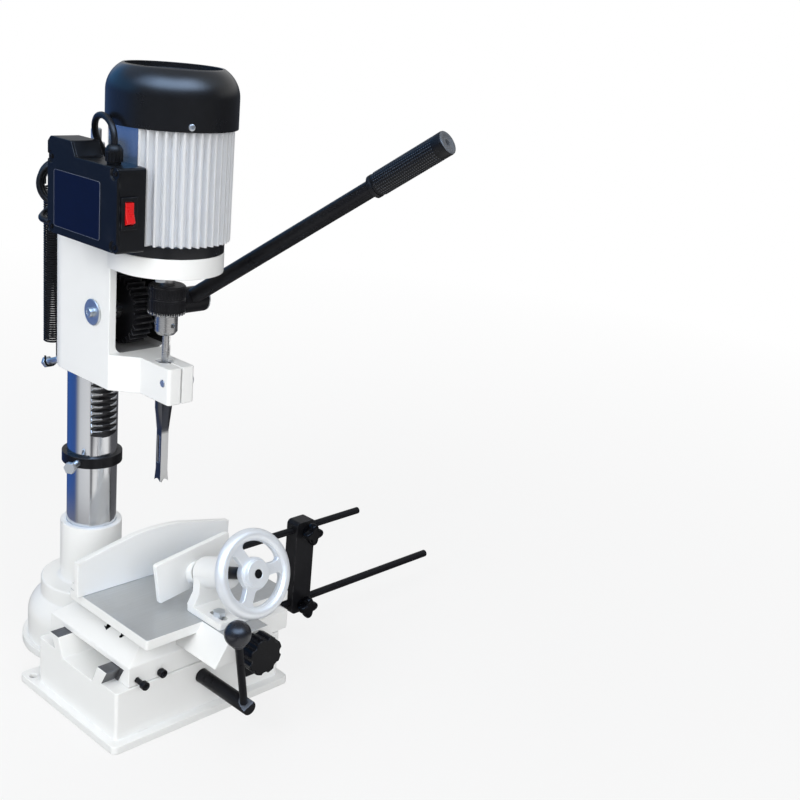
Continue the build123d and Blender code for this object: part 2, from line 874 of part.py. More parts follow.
feed_pitch = math.pi * feed_module
with BuildPart() as feed_rack:
    rack_tip_z = feed_rack_pitch_z - feed_module
    with BuildSketch(Plane.XY.offset(rack_tip_z)):
        with Locations((cross_x, feed_pinion_y)):
            Rectangle(2 * feed_rack_half, feed_rack_w)
    extrude(amount=saddle_floor_z - rack_tip_z)
    first_gap = math.ceil((cross_x - feed_rack_half) / feed_pitch)
    last_gap = math.floor((cross_x + feed_rack_half) / feed_pitch)
    rack_front_y = feed_pinion_y - feed_rack_w / 2
    gap_plane = Plane((0, rack_front_y, feed_rack_pitch_z), x_dir=(1, 0, 0), z_dir=(0, 1, 0))
    with BuildSketch(gap_plane):
        with Locations(*[(index * feed_pitch, 0) for index in range(first_gap, last_gap + 1)]):
            Polygon(*rack_gap(feed_module, backlash, feed_module), align=None)
    extrude(amount=feed_rack_w, mode=Mode.SUBTRACT)

# Table with its dovetail slide, fence and bolts
bracket_bolt_places = [
    (cross_x - bracket_slot_half, bracket_slot_y), (cross_x + bracket_slot_half, bracket_slot_y)
]
fence_bolt_places = [(cross_x - fence_bolt_x, fence_bolt_y), (cross_x + fence_bolt_x, fence_bolt_y)]
bolt_depth = table_top_z - screw_slot_top - bolt_floor
with BuildPart() as table:
    with BuildSketch(Plane((cross_x, table_back, 0), x_dir=(1, 0, 0), z_dir=(0, -1, 0))):
        with BuildLine():
            Polyline(
                (-slide_foot_half, slide_foot_z),
                (slide_foot_half, slide_foot_z),
                (slide_top_half, table_top_z),
                (-slide_top_half, table_top_z),
                close=True,
            )
        make_face()
    extrude(amount=table_back - apron_front)
    with BuildSketch(Plane.XY.offset(table_under_z)):
        with Locations((cross_x, (table_front + table_back) / 2)):
            RectangleRounded(2 * table_half, table_back - table_front, table_corner)
    extrude(amount=table_top_z - table_under_z)
    with BuildSketch(Plane.XY.offset(slide_foot_z)):
        slot_front = apron_front + apron_wall
        with Locations((cross_x, (slot_front + table_back) / 2)):
            Rectangle(2 * screw_slot_half, table_back - slot_front)
    extrude(amount=screw_slot_top - slide_foot_z, mode=Mode.SUBTRACT)
    rod(Plane((cross_x, apron_front, cross_screw_z), z_dir=(0, 1, 0)), cross_screw_r + run_gap, apron_wall,
        mode=Mode.SUBTRACT)
    for bolt_x, bolt_y in bracket_bolt_places + fence_bolt_places:
        rod(Plane((bolt_x, bolt_y, table_top_z - bolt_depth), z_dir=(0, 0, 1)), fence_bolt_r + run_gap,
            bolt_depth, mode=Mode.SUBTRACT)

with BuildPart() as fence:
    with BuildSketch(Plane((cross_x, fence_face_y + fence_t, 0), x_dir=(1, 0, 0), z_dir=(0, -1, 0))):
        with BuildLine():
            Polyline(
                (-fence_shoulder_x, fence_shoulder_z),
                (-fence_half, fence_end_z),
                (-fence_half, table_top_z),
                (fence_half, table_top_z),
                (fence_half, fence_end_z),
                (fence_shoulder_x, fence_shoulder_z),
            )
            ThreePointArc(
                (fence_shoulder_x, fence_shoulder_z), (0, fence_peak_z), (-fence_shoulder_x, fence_shoulder_z)
            )
        make_face()
    extrude(amount=fence_t)
    with BuildSketch(Plane.XY.offset(table_top_z)):
        with Locations((cross_x, (fence_face_y + fence_foot_back) / 2)):
            Rectangle(2 * table_half, fence_foot_back - fence_face_y)
    extrude(amount=fence_foot_h)
    for bolt_x, bolt_y in fence_bolt_places:
        rod(Plane((bolt_x, bolt_y, table_top_z), z_dir=(0, 0, 1)), fence_bolt_r + hole_gap, fence_foot_h,
            mode=Mode.SUBTRACT)

with BuildPart() as table_bolts:
    for places, seat_z in (
        (bracket_bolt_places, table_top_z + bracket_foot_t),
        (fence_bolt_places, table_top_z + fence_foot_h),
    ):
        for bolt_x, bolt_y in places:
            rod(Plane((bolt_x, bolt_y, table_top_z - bolt_depth), z_dir=(0, 0, 1)), fence_bolt_r,
                seat_z - table_top_z + bolt_depth)
            hexagon(Plane((bolt_x, bolt_y, seat_z), z_dir=(0, 0, 1)), small_bolt_af, small_bolt_head)

# Cross screw through the apron, with its star knob
with BuildPart() as cross_screw:
    screw_front = star_front + star_hub_h
    rod(Plane((cross_x, screw_front, cross_screw_z), z_dir=(0, 1, 0)), cross_screw_r,
        cross_screw_back - screw_front)
    collar_y = apron_front + apron_wall + slide_gap
    rod(Plane((cross_x, collar_y, cross_screw_z), z_dir=(0, 1, 0)), cross_collar_r, cross_collar_w)

with BuildPart() as star_knob:
    knob_plane = Plane((cross_x, star_front, cross_screw_z), x_dir=(1, 0, 0), z_dir=(0, -1, 0))
    with BuildSketch(knob_plane):
        Circle(star_knob_r)
        with PolarLocations(star_knob_r + star_lobe_r / 2, star_lobes):
            Circle(star_lobe_r, mode=Mode.SUBTRACT)
    extrude(amount=star_front - star_back)
    rod(Plane((cross_x, star_back, cross_screw_z), z_dir=(0, 1, 0)), star_hub_r,
        apron_front - slide_gap - star_back)
    rod(Plane((cross_x, screw_front, cross_screw_z), z_dir=(0, 1, 0)), cross_screw_r + run_gap,
        apron_front - screw_front, mode=Mode.SUBTRACT)

# Clamp: bracket on the apron, inclined screw, handwheel and work plate
clamp_way = Vector(0, 1, 0).rotate(Axis.X, -clamp_tilt)
wheel_face = Vector(cross_x, wheel_y, wheel_z)


def along_clamp(distance):
    """Plane across the clamp screw at a distance behind the handwheel's face."""
    return Plane(wheel_face + clamp_way * distance, x_dir=(1, 0, 0), z_dir=clamp_way)


with BuildPart() as clamp_bracket:
    with BuildSketch(Plane.XY.offset(table_top_z)):
        with Locations((cross_x, (bracket_front + bracket_back) / 2)):
            RectangleRounded(2 * bracket_half, bracket_back - bracket_front, table_corner)
        with Locations(*bracket_bolt_places):
            SlotOverall(bracket_slot_l, 2 * (fence_bolt_r + hole_gap), rotation=90, mode=Mode.SUBTRACT)
    extrude(amount=bracket_foot_t)
    boss_foot = along_clamp(boss_start)
    boss_back = along_clamp(boss_start + boss_l)
    with BuildSketch(Plane((cross_x, bracket_back, 0), x_dir=(1, 0, 0), z_dir=(0, -1, 0))):
        with BuildLine():
            Polyline(
                (-bracket_half, table_top_z + bracket_foot_t),
                (bracket_half, table_top_z + bracket_foot_t),
                (boss_r, boss_back.origin.Z - boss_r),
                (boss_r, boss_back.origin.Z),
                (-boss_r, boss_back.origin.Z),
                (-boss_r, boss_back.origin.Z - boss_r),
                close=True,
            )
        make_face()
    extrude(amount=bracket_wall_t)
    rod(boss_foot, boss_r, boss_l)
    rod(along_clamp(0), clamp_screw_r + run_gap, boss_start + 2 * boss_l, mode=Mode.SUBTRACT)

plate_reach = (plate_face_y - wheel_y) / math.cos(math.radians(clamp_tilt))
with BuildPart() as clamp_plate:
    plate_plane = Plane((cross_x, plate_face_y, plate_z), x_dir=(1, 0, 0), z_dir=(0, -1, 0))
    with BuildSketch(plate_plane):
        RectangleRounded(plate_w, plate_h, table_corner, rotation=plate_turn)
    extrude(amount=plate_t)
    rod(along_clamp(plate_reach - plate_t - plate_boss_l), plate_boss_r, plate_boss_l + plate_t)
    with BuildSketch(plate_plane.offset(-plate_boss_r)):
        Rectangle(plate_w, plate_w)
    extrude(amount=plate_boss_r, mode=Mode.SUBTRACT)
    rod(along_clamp(0), clamp_tip_r + run_gap, plate_reach - plate_t, mode=Mode.SUBTRACT)

with BuildPart() as clamp_screw:
    screw_end = plate_reach - plate_t - plate_boss_l - slide_gap
    rod(along_clamp(slide_gap), clamp_tip_r, wheel_hub_l)
    rod(along_clamp(wheel_hub_l), clamp_screw_r, screw_end - wheel_hub_l)
    rod(along_clamp(wheel_hub_l), clamp_collar_r, cross_collar_w)
    rod(along_clamp(screw_end), clamp_tip_r, plate_boss_l)

with BuildPart() as handwheel:
    wheel_plane = Plane(wheel_face, x_dir=(1, 0, 0), z_dir=-clamp_way)
    web_plane = wheel_plane.offset(-(wheel_hub_l + wheel_web_t) / 2)
    with BuildSketch(web_plane):
        Circle(wheel_r - rim_r)
    extrude(amount=wheel_web_t)
    with BuildSketch(web_plane) as windows:
        Circle(window_outer_r)
        Circle(window_inner_r, mode=Mode.SUBTRACT)
        with PolarLocations(0, wheel_spokes):
            Rectangle(wheel_r, spoke_w, align=(Align.MIN, Align.CENTER), mode=Mode.SUBTRACT)
        fillet(windows.vertices(), window_round)
    extrude(amount=wheel_web_t, mode=Mode.SUBTRACT)
    with Locations(wheel_plane.offset(-wheel_hub_l / 2)):
        Torus(wheel_r - rim_r, rim_r)
    rod(along_clamp(0), wheel_hub_r, wheel_hub_l)
    rod(along_clamp(0), clamp_tip_r + run_gap, wheel_hub_l, mode=Mode.SUBTRACT)

# Head casting: column clamp with a window, motor flange and chisel nose
spindle_plane = Plane((0, spindle_y, 0), x_dir=(1, 0, 0), z_dir=(0, -1, 0))
spindle_axis = Axis((0, spindle_y, 0), (0, 0, 1))
bolt_way = Vector(0, 1, 0).rotate(Axis.X, -spring_bolt_tilt)


def along_bolt(y):
    """Plane across the spring bolt where its axis passes the given y."""
    reach = (y - spring_bolt_y) / bolt_way.Y
    return Plane(Vector(0, spring_bolt_y, spring_bolt_z) + bolt_way * reach, x_dir=(1, 0, 0), z_dir=bolt_way)


shield_bolt_places = [
    (x * shield_bolt_ring * math.sqrt(0.5), spindle_y + y * shield_bolt_ring * math.sqrt(0.5))
    for x, y in ((-1, -1), (1, -1), (1, 1), (-1, 1))
]
with BuildPart() as head_casting:
    with BuildSketch(Plane.XY.offset(head_bottom_z)):
        Circle(head_half)
        with Locations((0, head_front / 2)):
            Rectangle(2 * head_half, -head_front)
    extrude(amount=head_top_z - head_bottom_z)
    window_half = head_half - head_wall
    window_h = window_top_z - window_bottom_z
    window_z = (window_top_z + window_bottom_z) / 2
    with BuildSketch(Plane((0, window_back, window_z), x_dir=(1, 0, 0), z_dir=(0, -1, 0))):
        RectangleRounded(2 * window_half, window_h, window_corner)
    extrude(amount=window_back - head_front, mode=Mode.SUBTRACT)
    with BuildSketch(Plane.XY.offset(head_bottom_z)) as nose:
        Polygon((-head_half, head_front), (-nose_half, nose_start), (-nose_half, nose_front),
                (nose_half, nose_front), (nose_half, nose_start), (head_half, head_front), align=None)
        fillet(nose.vertices().group_by(Axis.Y)[0], nose_corner)
    extrude(amount=window_bottom_z - head_bottom_z)
    with BuildSketch(Plane.XY.offset(window_top_z)):
        with Locations((0, spindle_y)):
            Circle(flange_half)
        Polygon((-flange_half, spindle_y), (flange_half, spindle_y), (flange_half, flange_back),
                (head_half, flange_root), (-head_half, flange_root), (-flange_half, flange_back), align=None)
    extrude(amount=flange_t)
    rod(along_bolt(spring_boss_in), spring_boss_r, (spring_boss_y - spring_boss_in) / bolt_way.Y)
    rod(along_bolt(spring_boss_y - spring_bolt_in), spring_bolt_r + run_gap, spring_bolt_in / bolt_way.Y,
        mode=Mode.SUBTRACT)
    rod(Plane.XY.offset(head_bottom_z), column_r + run_gap, head_top_z - head_bottom_z, mode=Mode.SUBTRACT)
    rod(Plane((0, spindle_y, window_top_z)), flange_hole_r, flange_t, mode=Mode.SUBTRACT)
    rod(Plane((0, spindle_y, head_bottom_z)), chisel_shank_r + run_gap, window_bottom_z - head_bottom_z,
        mode=Mode.SUBTRACT)
    with BuildSketch(Plane.XY.offset(head_bottom_z)):
        with Locations((0, (nose_front + spindle_y) / 2)):
            Rectangle(split_w, spindle_y - nose_front)
    extrude(amount=window_bottom_z - head_bottom_z, mode=Mode.SUBTRACT)
    rod(Plane((-nose_half, pinch_y, pinch_z), z_dir=(1, 0, 0)), pinch_r + hole_gap, 2 * nose_half,
        mode=Mode.SUBTRACT)
    rod(Plane((nose_half - pinch_head_h / 2, pinch_y, pinch_z), z_dir=(1, 0, 0)), pinch_head_r + hole_gap,
        pinch_head_h, mode=Mode.SUBTRACT)
    rod(Plane((-head_half, pinion_y, pinion_z), z_dir=(1, 0, 0)), pinion_shaft_r + run_gap, 2 * head_half,
        mode=Mode.SUBTRACT)
    for bolt_x, bolt_y in shield_bolt_places:
        rod(Plane((bolt_x, bolt_y, window_top_z)), shield_bolt_r + hole_gap, flange_t,
            mode=Mode.SUBTRACT)

with BuildPart() as head_bolts:
    for bolt_x, bolt_y in shield_bolt_places:
        rod(Plane((bolt_x, bolt_y, window_top_z)), shield_bolt_r, flange_t + shield_bolt_depth)
        hexagon(Plane((bolt_x, bolt_y, window_top_z), z_dir=(0, 0, -1)), shield_bolt_af, shield_bolt_head)
    pinch_seat = nose_half - pinch_head_h / 2
    rod(Plane((-nose_half, pinch_y, pinch_z), z_dir=(1, 0, 0)), pinch_r, nose_half + pinch_seat)
    rod(Plane((pinch_seat, pinch_y, pinch_z), z_dir=(1, 0, 0)), pinch_head_r, pinch_head_h)
    hexagon(Plane((pinch_seat + pinch_head_h / 2, pinch_y, pinch_z), z_dir=(1, 0, 0)), pinch_head_r,
            pinch_head_h / 2, mode=Mode.SUBTRACT)

with BuildPart() as spring_bolt:
    bolt_start = along_bolt(spring_boss_y - spring_bolt_in)
    bolt_seat_plane = along_bolt(spring_boss_y)
    rod(bolt_start, spring_bolt_r, spring_bolt_in / bolt_way.Y + spring_bolt_out)
    hexagon(bolt_seat_plane, spring_bolt_af, spring_nut_h)
    hexagon(bolt_seat_plane.offset(spring_bolt_out), spring_bolt_af, small_bolt_head)

# Pinion shaft across the head, with the feed handle on its right end
shaft_left_x = -head_half - slide_gap
hub_start_x = head_half + slide_gap
splay = math.radians(handle_splay)
handle_level = Vector(0, -1, 0).rotate(Axis.X, -handle_rise)
handle_way = handle_level * math.cos(splay) + Vector(math.sin(splay), 0, 0)


def across(x):
    """Plane across the pinion shaft at x, facing +X."""
    return Plane((x, pinion_y, pinion_z), x_dir=(0, 1, 0), z_dir=(1, 0, 0))


def along_handle(distance):
    """Plane across the feed handle at a distance from the pinion shaft's axis."""
    centre = Vector(handle_x, pinion_y, pinion_z) + handle_way * distance
    return Plane(centre, x_dir=(1, 0, 0), z_dir=handle_way)


shaft_right_x = handle_x - handle_r - handle_clear
hub_bolt_depth = hub_end_x - handle_x - handle_r - handle_clear
with BuildPart() as pinion_shaft:
    rod(across(shaft_left_x), pinion_shaft_r, shaft_right_x - shaft_left_x)
    rod(across(shaft_left_x), end_bolt_r + run_gap, end_bolt_depth, mode=Mode.SUBTRACT)

with BuildPart() as drive_pinion:
    with BuildSketch(across(-pinion_w / 2)):
        gear_sketch(rack_module, pinion_teeth, backlash)
        Circle(pinion_shaft_r + run_gap, mode=Mode.SUBTRACT)
    extrude(amount=pinion_w)

with BuildPart() as lever_hub:
    rod(across(hub_start_x), hub_r, hub_neck_x - hub_start_x)
    rod(across(hub_neck_x), hub_neck_r, hub_end_x - hub_neck_x)
    rod(across(hub_start_x), pinion_shaft_r + run_gap, shaft_right_x - hub_start_x, mode=Mode.SUBTRACT)
    rod(along_handle(-handle_in), handle_r + run_gap, handle_l, mode=Mode.SUBTRACT)
    rod(across(hub_end_x - hub_bolt_depth), end_bolt_r + run_gap, hub_bolt_depth, mode=Mode.SUBTRACT)

with BuildPart() as shaft_end_screws:
    for seat_x, facing, depth in ((shaft_left_x, -1, end_bolt_depth), (hub_end_x, 1, hub_bolt_depth)):
        seat = Plane((seat_x, pinion_y, pinion_z), x_dir=(0, 1, 0), z_dir=(facing, 0, 0))
        rod(seat, end_washer_r, end_washer_t)
        hexagon(seat.offset(end_washer_t), end_bolt_af, end_bolt_head)
        rod(seat.offset(-depth), end_bolt_r, depth)

with BuildPart() as lever_bar:
    rod(along_handle(-handle_in), handle_r, handle_l + handle_in)

with BuildPart() as lever_grip:
    with BuildSketch(along_handle(grip_start)):
        Circle(grip_r)
        with PolarLocations(grip_r - grip_rib_depth + grip_rib_r, grip_ribs):
            Circle(grip_rib_r, mode=Mode.SUBTRACT)
    extrude(amount=grip_l - grip_cap)
    rod(along_handle(grip_start + grip_l - grip_cap), grip_r, grip_cap)
    rod(along_handle(grip_start), handle_r + run_gap, handle_l - grip_start, mode=Mode.SUBTRACT)
    with BuildSketch(along_handle(grip_start + grip_l - grip_cap)):
        Rectangle(grip_socket, grip_socket)
    extrude(amount=grip_cap, mode=Mode.SUBTRACT)

# Motor: end shield, finned housing, bearings, rotor shaft, fan and cover
shield_top_z = head_top_z + shield_h
lower_bearing_z = shield_top_z - bearing_w
upper_bearing_z = motor_top_z - motor_cap_t
with BuildPart() as motor_end_shield:
    rod(Plane((0, spindle_y, head_top_z)), shield_r, shield_h)
    rod(Plane((0, spindle_y, lower_bearing_z)), bearing_r + run_gap, bearing_w, mode=Mode.SUBTRACT)
    rod(Plane((0, spindle_y, head_top_z)), shaft_r + shaft_play, shield_h, mode=Mode.SUBTRACT)
    for bolt_x, bolt_y in shield_bolt_places:
        rod(Plane((bolt_x, bolt_y, head_top_z)), shield_bolt_r + run_gap, shield_bolt_depth,
            mode=Mode.SUBTRACT)

with BuildPart() as motor_housing:
    with BuildSketch(Plane((0, spindle_y, shield_top_z))):
        Circle(motor_core_r)
        with PolarLocations(0, fin_count):
            Polygon((motor_bore_r, -fin_root_w / 2), (motor_core_r, -fin_root_w / 2), (fin_r, -fin_tip_w / 2),
                    (fin_r, fin_tip_w / 2), (motor_core_r, fin_root_w / 2), (motor_bore_r, fin_root_w / 2),
                    align=None)
        with Locations(((box_in_x - motor_bore_r) / 2, 0)):
            Rectangle(-box_in_x - motor_bore_r, 2 * box_pad_half)
        with Locations((box_in_x - fin_r / 2, 0)):
            Rectangle(fin_r, 2 * fin_r, mode=Mode.SUBTRACT)
    extrude(amount=motor_top_z - shield_top_z)
    rod(Plane((0, spindle_y, shield_top_z)), motor_bore_r, upper_bearing_z - shield_top_z, mode=Mode.SUBTRACT)
    rod(Plane((0, spindle_y, upper_bearing_z)), bearing_r + run_gap, bearing_w, mode=Mode.SUBTRACT)
    rod(Plane((0, spindle_y, upper_bearing_z)), shaft_r + shaft_play, motor_cap_t, mode=Mode.SUBTRACT)

with BuildPart() as motor_stator:
    stator_bore_r = rotor_r + air_gap
    with BuildSketch(Plane((0, spindle_y, rotor_bottom_z))):
        Circle(motor_bore_r - run_gap)
        Circle(stator_bore_r, mode=Mode.SUBTRACT)
        with PolarLocations(stator_bore_r, stator_slots):
            Rectangle(2 * stator_slot_h, stator_slot_w, mode=Mode.SUBTRACT)
    extrude(amount=rotor_top_z - rotor_bottom_z)
    for winding_z in (rotor_bottom_z - winding_h, rotor_top_z):
        rod(Plane((0, spindle_y, winding_z)), winding_r, winding_h)
        rod(Plane((0, spindle_y, winding_z)), stator_bore_r + stator_slot_w / 2, winding_h,
            mode=Mode.SUBTRACT)

with BuildPart() as motor_bearings:
    for bearing_z in (lower_bearing_z, upper_bearing_z):
        rod(Plane((0, spindle_y, bearing_z)), bearing_r, bearing_w)
        rod(Plane((0, spindle_y, bearing_z)), shaft_r + run_gap, bearing_w, mode=Mode.SUBTRACT)

with BuildPart() as motor_shaft:
    rod(Plane((0, spindle_y, chuck_shaft_z)), shaft_r, shaft_top_z - chuck_shaft_z)
    rod(Plane((0, spindle_y, rotor_bottom_z)), rotor_r, rotor_top_z - rotor_bottom_z)

with BuildPart() as cooling_fan:
    with BuildSketch(Plane((0, spindle_y, fan_z))):
        Circle(fan_hub_r)
        with PolarLocations(0, fan_blades):
            Rectangle(fan_r, fan_blade_t, align=(Align.MIN, Align.CENTER))
    extrude(amount=fan_h)
    rod(Plane((0, spindle_y, fan_z)), fan_r, fan_blade_t)
    rod(Plane((0, spindle_y, fan_z)), shaft_r + run_gap, fan_h, mode=Mode.SUBTRACT)

cover_bore_r = fin_r + run_gap
with BuildPart() as fan_cover:
    with BuildSketch(spindle_plane) as cover_profile:
        with BuildLine():
            Line((cover_bore_r, cover_bottom_z), (cover_r, cover_bottom_z))
            Line((cover_r, cover_bottom_z), (cover_r, cover_shoulder_z))
            TangentArc((cover_r, cover_shoulder_z), (cover_mouth_r, cover_top_z), tangent=(0, 1))
            Polyline(
                (cover_mouth_r, cover_top_z),
                (cover_mouth_r - cover_lip, cover_top_z),
                (cover_mouth_r - cover_lip, cover_dish_z + cover_t),
                (0, cover_dish_z + cover_t),
                (0, cover_dish_z),
                (cover_mouth_r - cover_lip, cover_dish_z),
            )
            TangentArc((cover_bore_r, cover_shoulder_z), (cover_mouth_r - cover_lip, cover_dish_z),
                       tangent=(0, 1))
            Line((cover_bore_r, cover_shoulder_z), (cover_bore_r, cover_bottom_z))
        make_face()
    revolve(axis=spindle_axis)
    with BuildSketch(Plane((0, spindle_y, cover_dish_z))):
        with PolarLocations((cover_vent_in + cover_vent_out) / 2, cover_vents):
            SlotOverall(cover_vent_out - cover_vent_in, cover_vent_w)
    extrude(amount=cover_t, mode=Mode.SUBTRACT)
    for angle in cover_screw_angles:
        screw_way = Vector(1, 0, 0).rotate(Axis.Z, angle)
        screw_seat = Plane(Vector(0, spindle_y, cover_screw_z) + screw_way * cover_bore_r, z_dir=screw_way)
        rod(screw_seat, cover_screw_r / 2 + run_gap, cover_r - cover_bore_r + cover_screw_t,
            mode=Mode.SUBTRACT)

# Chuck, auger and hollow chisel
with BuildPart() as chuck_body:
    with BuildSketch(spindle_plane):
        Polygon((0, chuck_nose_z), (chuck_mouth_r, chuck_nose_z), (chuck_nose_r, chuck_nose_z + chuck_nose_h),
                (chuck_nose_r, chuck_sleeve_z - chuck_tooth_h), (chuck_body_r, chuck_sleeve_z),
                (chuck_body_r, chuck_top_z), (0, chuck_top_z), align=None)
    revolve(axis=spindle_axis)
    rod(Plane((0, spindle_y, chuck_nose_z)), auger_r + run_gap, auger_top_z - chuck_nose_z,
        mode=Mode.SUBTRACT)
    rod(Plane((0, spindle_y, chuck_shaft_z)), shaft_r + run_gap, chuck_top_z - chuck_shaft_z,
        mode=Mode.SUBTRACT)
    for angle in chuck_key_angles:
        key_way = Vector(1, 0, 0).rotate(Axis.Z, angle)
        key_foot = Vector(0, spindle_y, chuck_key_z) + key_way * (chuck_mouth_r - chuck_tooth_h)
        rod(Plane(key_foot, z_dir=key_way), chuck_key_hole_r, chuck_mouth_r, mode=Mode.SUBTRACT)

with BuildPart() as chuck_sleeve:
    rod(Plane((0, spindle_y, chuck_sleeve_z)), chuck_sleeve_r, chuck_top_z - chuck_sleeve_z)
    chamfer(chuck_sleeve.edges().sort_by(Axis.Z)[-1], chuck_tooth_h / 2)
    rod(Plane((0, spindle_y, chuck_sleeve_z)), chuck_body_r + run_gap, chuck_top_z - chuck_sleeve_z,
        mode=Mode.SUBTRACT)
    with BuildSketch(Plane((0, spindle_y, chuck_sleeve_z))):
        with PolarLocations(0, chuck_teeth):
            Rectangle(2 * chuck_sleeve_r, chuck_tooth_w, align=(Align.MIN, Align.CENTER))
        Circle(chuck_body_r, mode=Mode.SUBTRACT)
    extrude(amount=chuck_tooth_h, mode=Mode.SUBTRACT)
    with BuildSketch(Plane((0, spindle_y, chuck_groove_z))):
        Circle(chuck_sleeve_r)
        Circle(chuck_sleeve_r - chuck_groove_d, mode=Mode.SUBTRACT)
    extrude(amount=chuck_groove_w, mode=Mode.SUBTRACT)

with BuildPart() as auger_bit:
    auger_foot_z = auger_tip_z + auger_point_h
    rod(Plane((0, spindle_y, auger_foot_z)), auger_r, auger_top_z - auger_foot_z)
    with Locations((0, spindle_y, auger_tip_z)):
        Cone(0, auger_r, auger_point_h, align=base_align)

with BuildPart() as mortise_chisel:
    rod(Plane((0, spindle_y, chisel_shoulder_z)), chisel_shank_r, chisel_top_z - chisel_shoulder_z)
    with BuildSketch(Plane((0, spindle_y, chisel_square_z))):
        Rectangle(chisel_side, chisel_side)
    with BuildSketch(Plane((0, spindle_y, chisel_shoulder_z))):
        Circle(chisel_shank_r)
    loft()
    with BuildSketch(Plane((0, spindle_y, chisel_flare_z))):
        Rectangle(chisel_side, chisel_side)
    extrude(amount=chisel_square_z - chisel_flare_z)
    with BuildSketch(Plane((0, spindle_y, chisel_tip_z))):
        Rectangle(chisel_flare_side, chisel_flare_side)
    with BuildSketch(Plane((0, spindle_y, chisel_flare_z))):
        Rectangle(chisel_side, chisel_side)
    loft(ruled=True)
    rod(Plane((0, spindle_y, chisel_tip_z)), chisel_bore_r, chisel_top_z - chisel_tip_z, mode=Mode.SUBTRACT)
    with Locations((0, spindle_y, chisel_tip_z)):
        Cone(chisel_flare_side * math.sqrt(0.5), chisel_bore_r, chisel_notch_h, align=base_align,
             mode=Mode.SUBTRACT)
    with Locations((-chisel_side / 2, spindle_y, (chisel_slot_top + chisel_slot_bottom) / 2)):
        Box(chisel_side, chisel_slot_w, chisel_slot_top - chisel_slot_bottom, mode=Mode.SUBTRACT)

# Switch box with lid, switch and cord gland
box_points = (
    (box_front, box_bottom_z),
    (box_front, box_top_z),
    (box_step_front, box_top_z),
    (box_step_front + box_step_slope, box_step_z),
    (box_step_back, box_step_z),
    (box_back, box_step_z - box_back + box_step_back),
    (box_back, box_bottom_z),
)
lid_screw_places = [
    (box_front + lid_screw_inset, box_bottom_z + lid_screw_inset),
    (box_front + lid_screw_inset, box_top_z - lid_screw_inset),
    (box_back - lid_screw_inset, box_bottom_z + lid_screw_inset),
    (box_back - lid_screw_inset, box_top_z - lid_screw_inset),
]
lid_x = box_out_x + box_lid_t
neck_w = switch_w - 2 * bezel_lip
neck_h = switch_h - 2 * bezel_lip
switch_plane = Plane((switch_x, box_front, switch_z), x_dir=(1, 0, 0), z_dir=(0, 1, 0))
with BuildPart() as switch_box:
    with BuildSketch(Plane.YZ.offset(lid_x)) as box_outline:
        Polygon(*box_points, align=None)
        fillet(box_outline.vertices(), box_corner)
    extrude(amount=box_in_x - lid_x)
    with BuildSketch(Plane.YZ.offset(lid_x)) as box_inside:
        Polygon(*box_points, align=None)
        fillet(box_inside.vertices(), box_corner)
        offset(amount=-box_wall, mode=Mode.REPLACE)
    extrude(amount=box_in_x - box_wall - lid_x, mode=Mode.SUBTRACT)
    for screw_y, screw_z in lid_screw_places:
        rod(Plane((lid_x, screw_y, screw_z), z_dir=(1, 0, 0)), lid_post_r, box_in_x - lid_x)
    with BuildSketch(switch_plane):
        Rectangle(neck_w, neck_h)
    extrude(amount=box_wall, mode=Mode.SUBTRACT)

with BuildPart() as box_lid:
    with BuildSketch(Plane.YZ.offset(box_out_x)) as lid_outline:
        Polygon(*box_points, align=None)
        fillet(lid_outline.vertices(), box_corner)
    extrude(amount=box_lid_t)
    fillet(box_lid.faces().sort_by(Axis.X)[0].edges(), lid_round)
    for screw_y, screw_z in lid_screw_places:
        rod(Plane((box_out_x, screw_y, screw_z), z_dir=(1, 0, 0)), lid_recess_r, lid_recess_d,
            mode=Mode.SUBTRACT)

with BuildPart() as pan_screws:
    for angle in cover_screw_angles:
        screw_way = Vector(1, 0, 0).rotate(Axis.Z, angle)
        screw_seat = Plane(Vector(0, spindle_y, cover_screw_z) + screw_way * cover_bore_r, z_dir=screw_way)
        rod(screw_seat, cover_screw_r / 2, cover_r - cover_bore_r)
        rod(screw_seat.offset(cover_r - cover_bore_r), cover_screw_r, cover_screw_t)
    for screw_y, screw_z in lid_screw_places:
        rod(Plane((box_out_x + lid_recess_d, screw_y, screw_z), z_dir=(-1, 0, 0)), lid_screw_r, lid_screw_t)

with BuildPart() as switch_bezel:
    with BuildSketch(switch_plane.offset(-bezel_t)):
        Rectangle(switch_w, switch_h)
    extrude(amount=bezel_t)
    with BuildSketch(switch_plane):
        Rectangle(neck_w - 2 * run_gap, neck_h - 2 * run_gap)
    extrude(amount=bezel_depth)
    with BuildSketch(switch_plane.offset(-bezel_t)):
        Rectangle(neck_w - 2 * bezel_wall, neck_h - 2 * bezel_wall)
    extrude(amount=bezel_t + bezel_depth - bezel_wall, mode=Mode.SUBTRACT)

rocker_half_w = neck_w / 2 - bezel_wall - rocker_play
rocker_r = neck_h / 2 - bezel_wall - rocker_play
rocker_out = Vector(0, -1, 0).rotate(Axis.X, -rocker_dip)
rocker_side = (switch_x + rocker_half_w, box_front + rocker_set, switch_z)
with BuildPart() as rocker_switch:
    with BuildSketch(Plane(rocker_side, x_dir=rocker_out, z_dir=(-1, 0, 0))):
        Circle(rocker_r)
        Polygon((-rocker_back, -rocker_r), (rocker_end, -rocker_r), (rocker_middle, 0),
                (rocker_end, rocker_r), (-rocker_back, rocker_r), align=None, mode=Mode.INTERSECT)
    extrude(amount=2 * rocker_half_w)

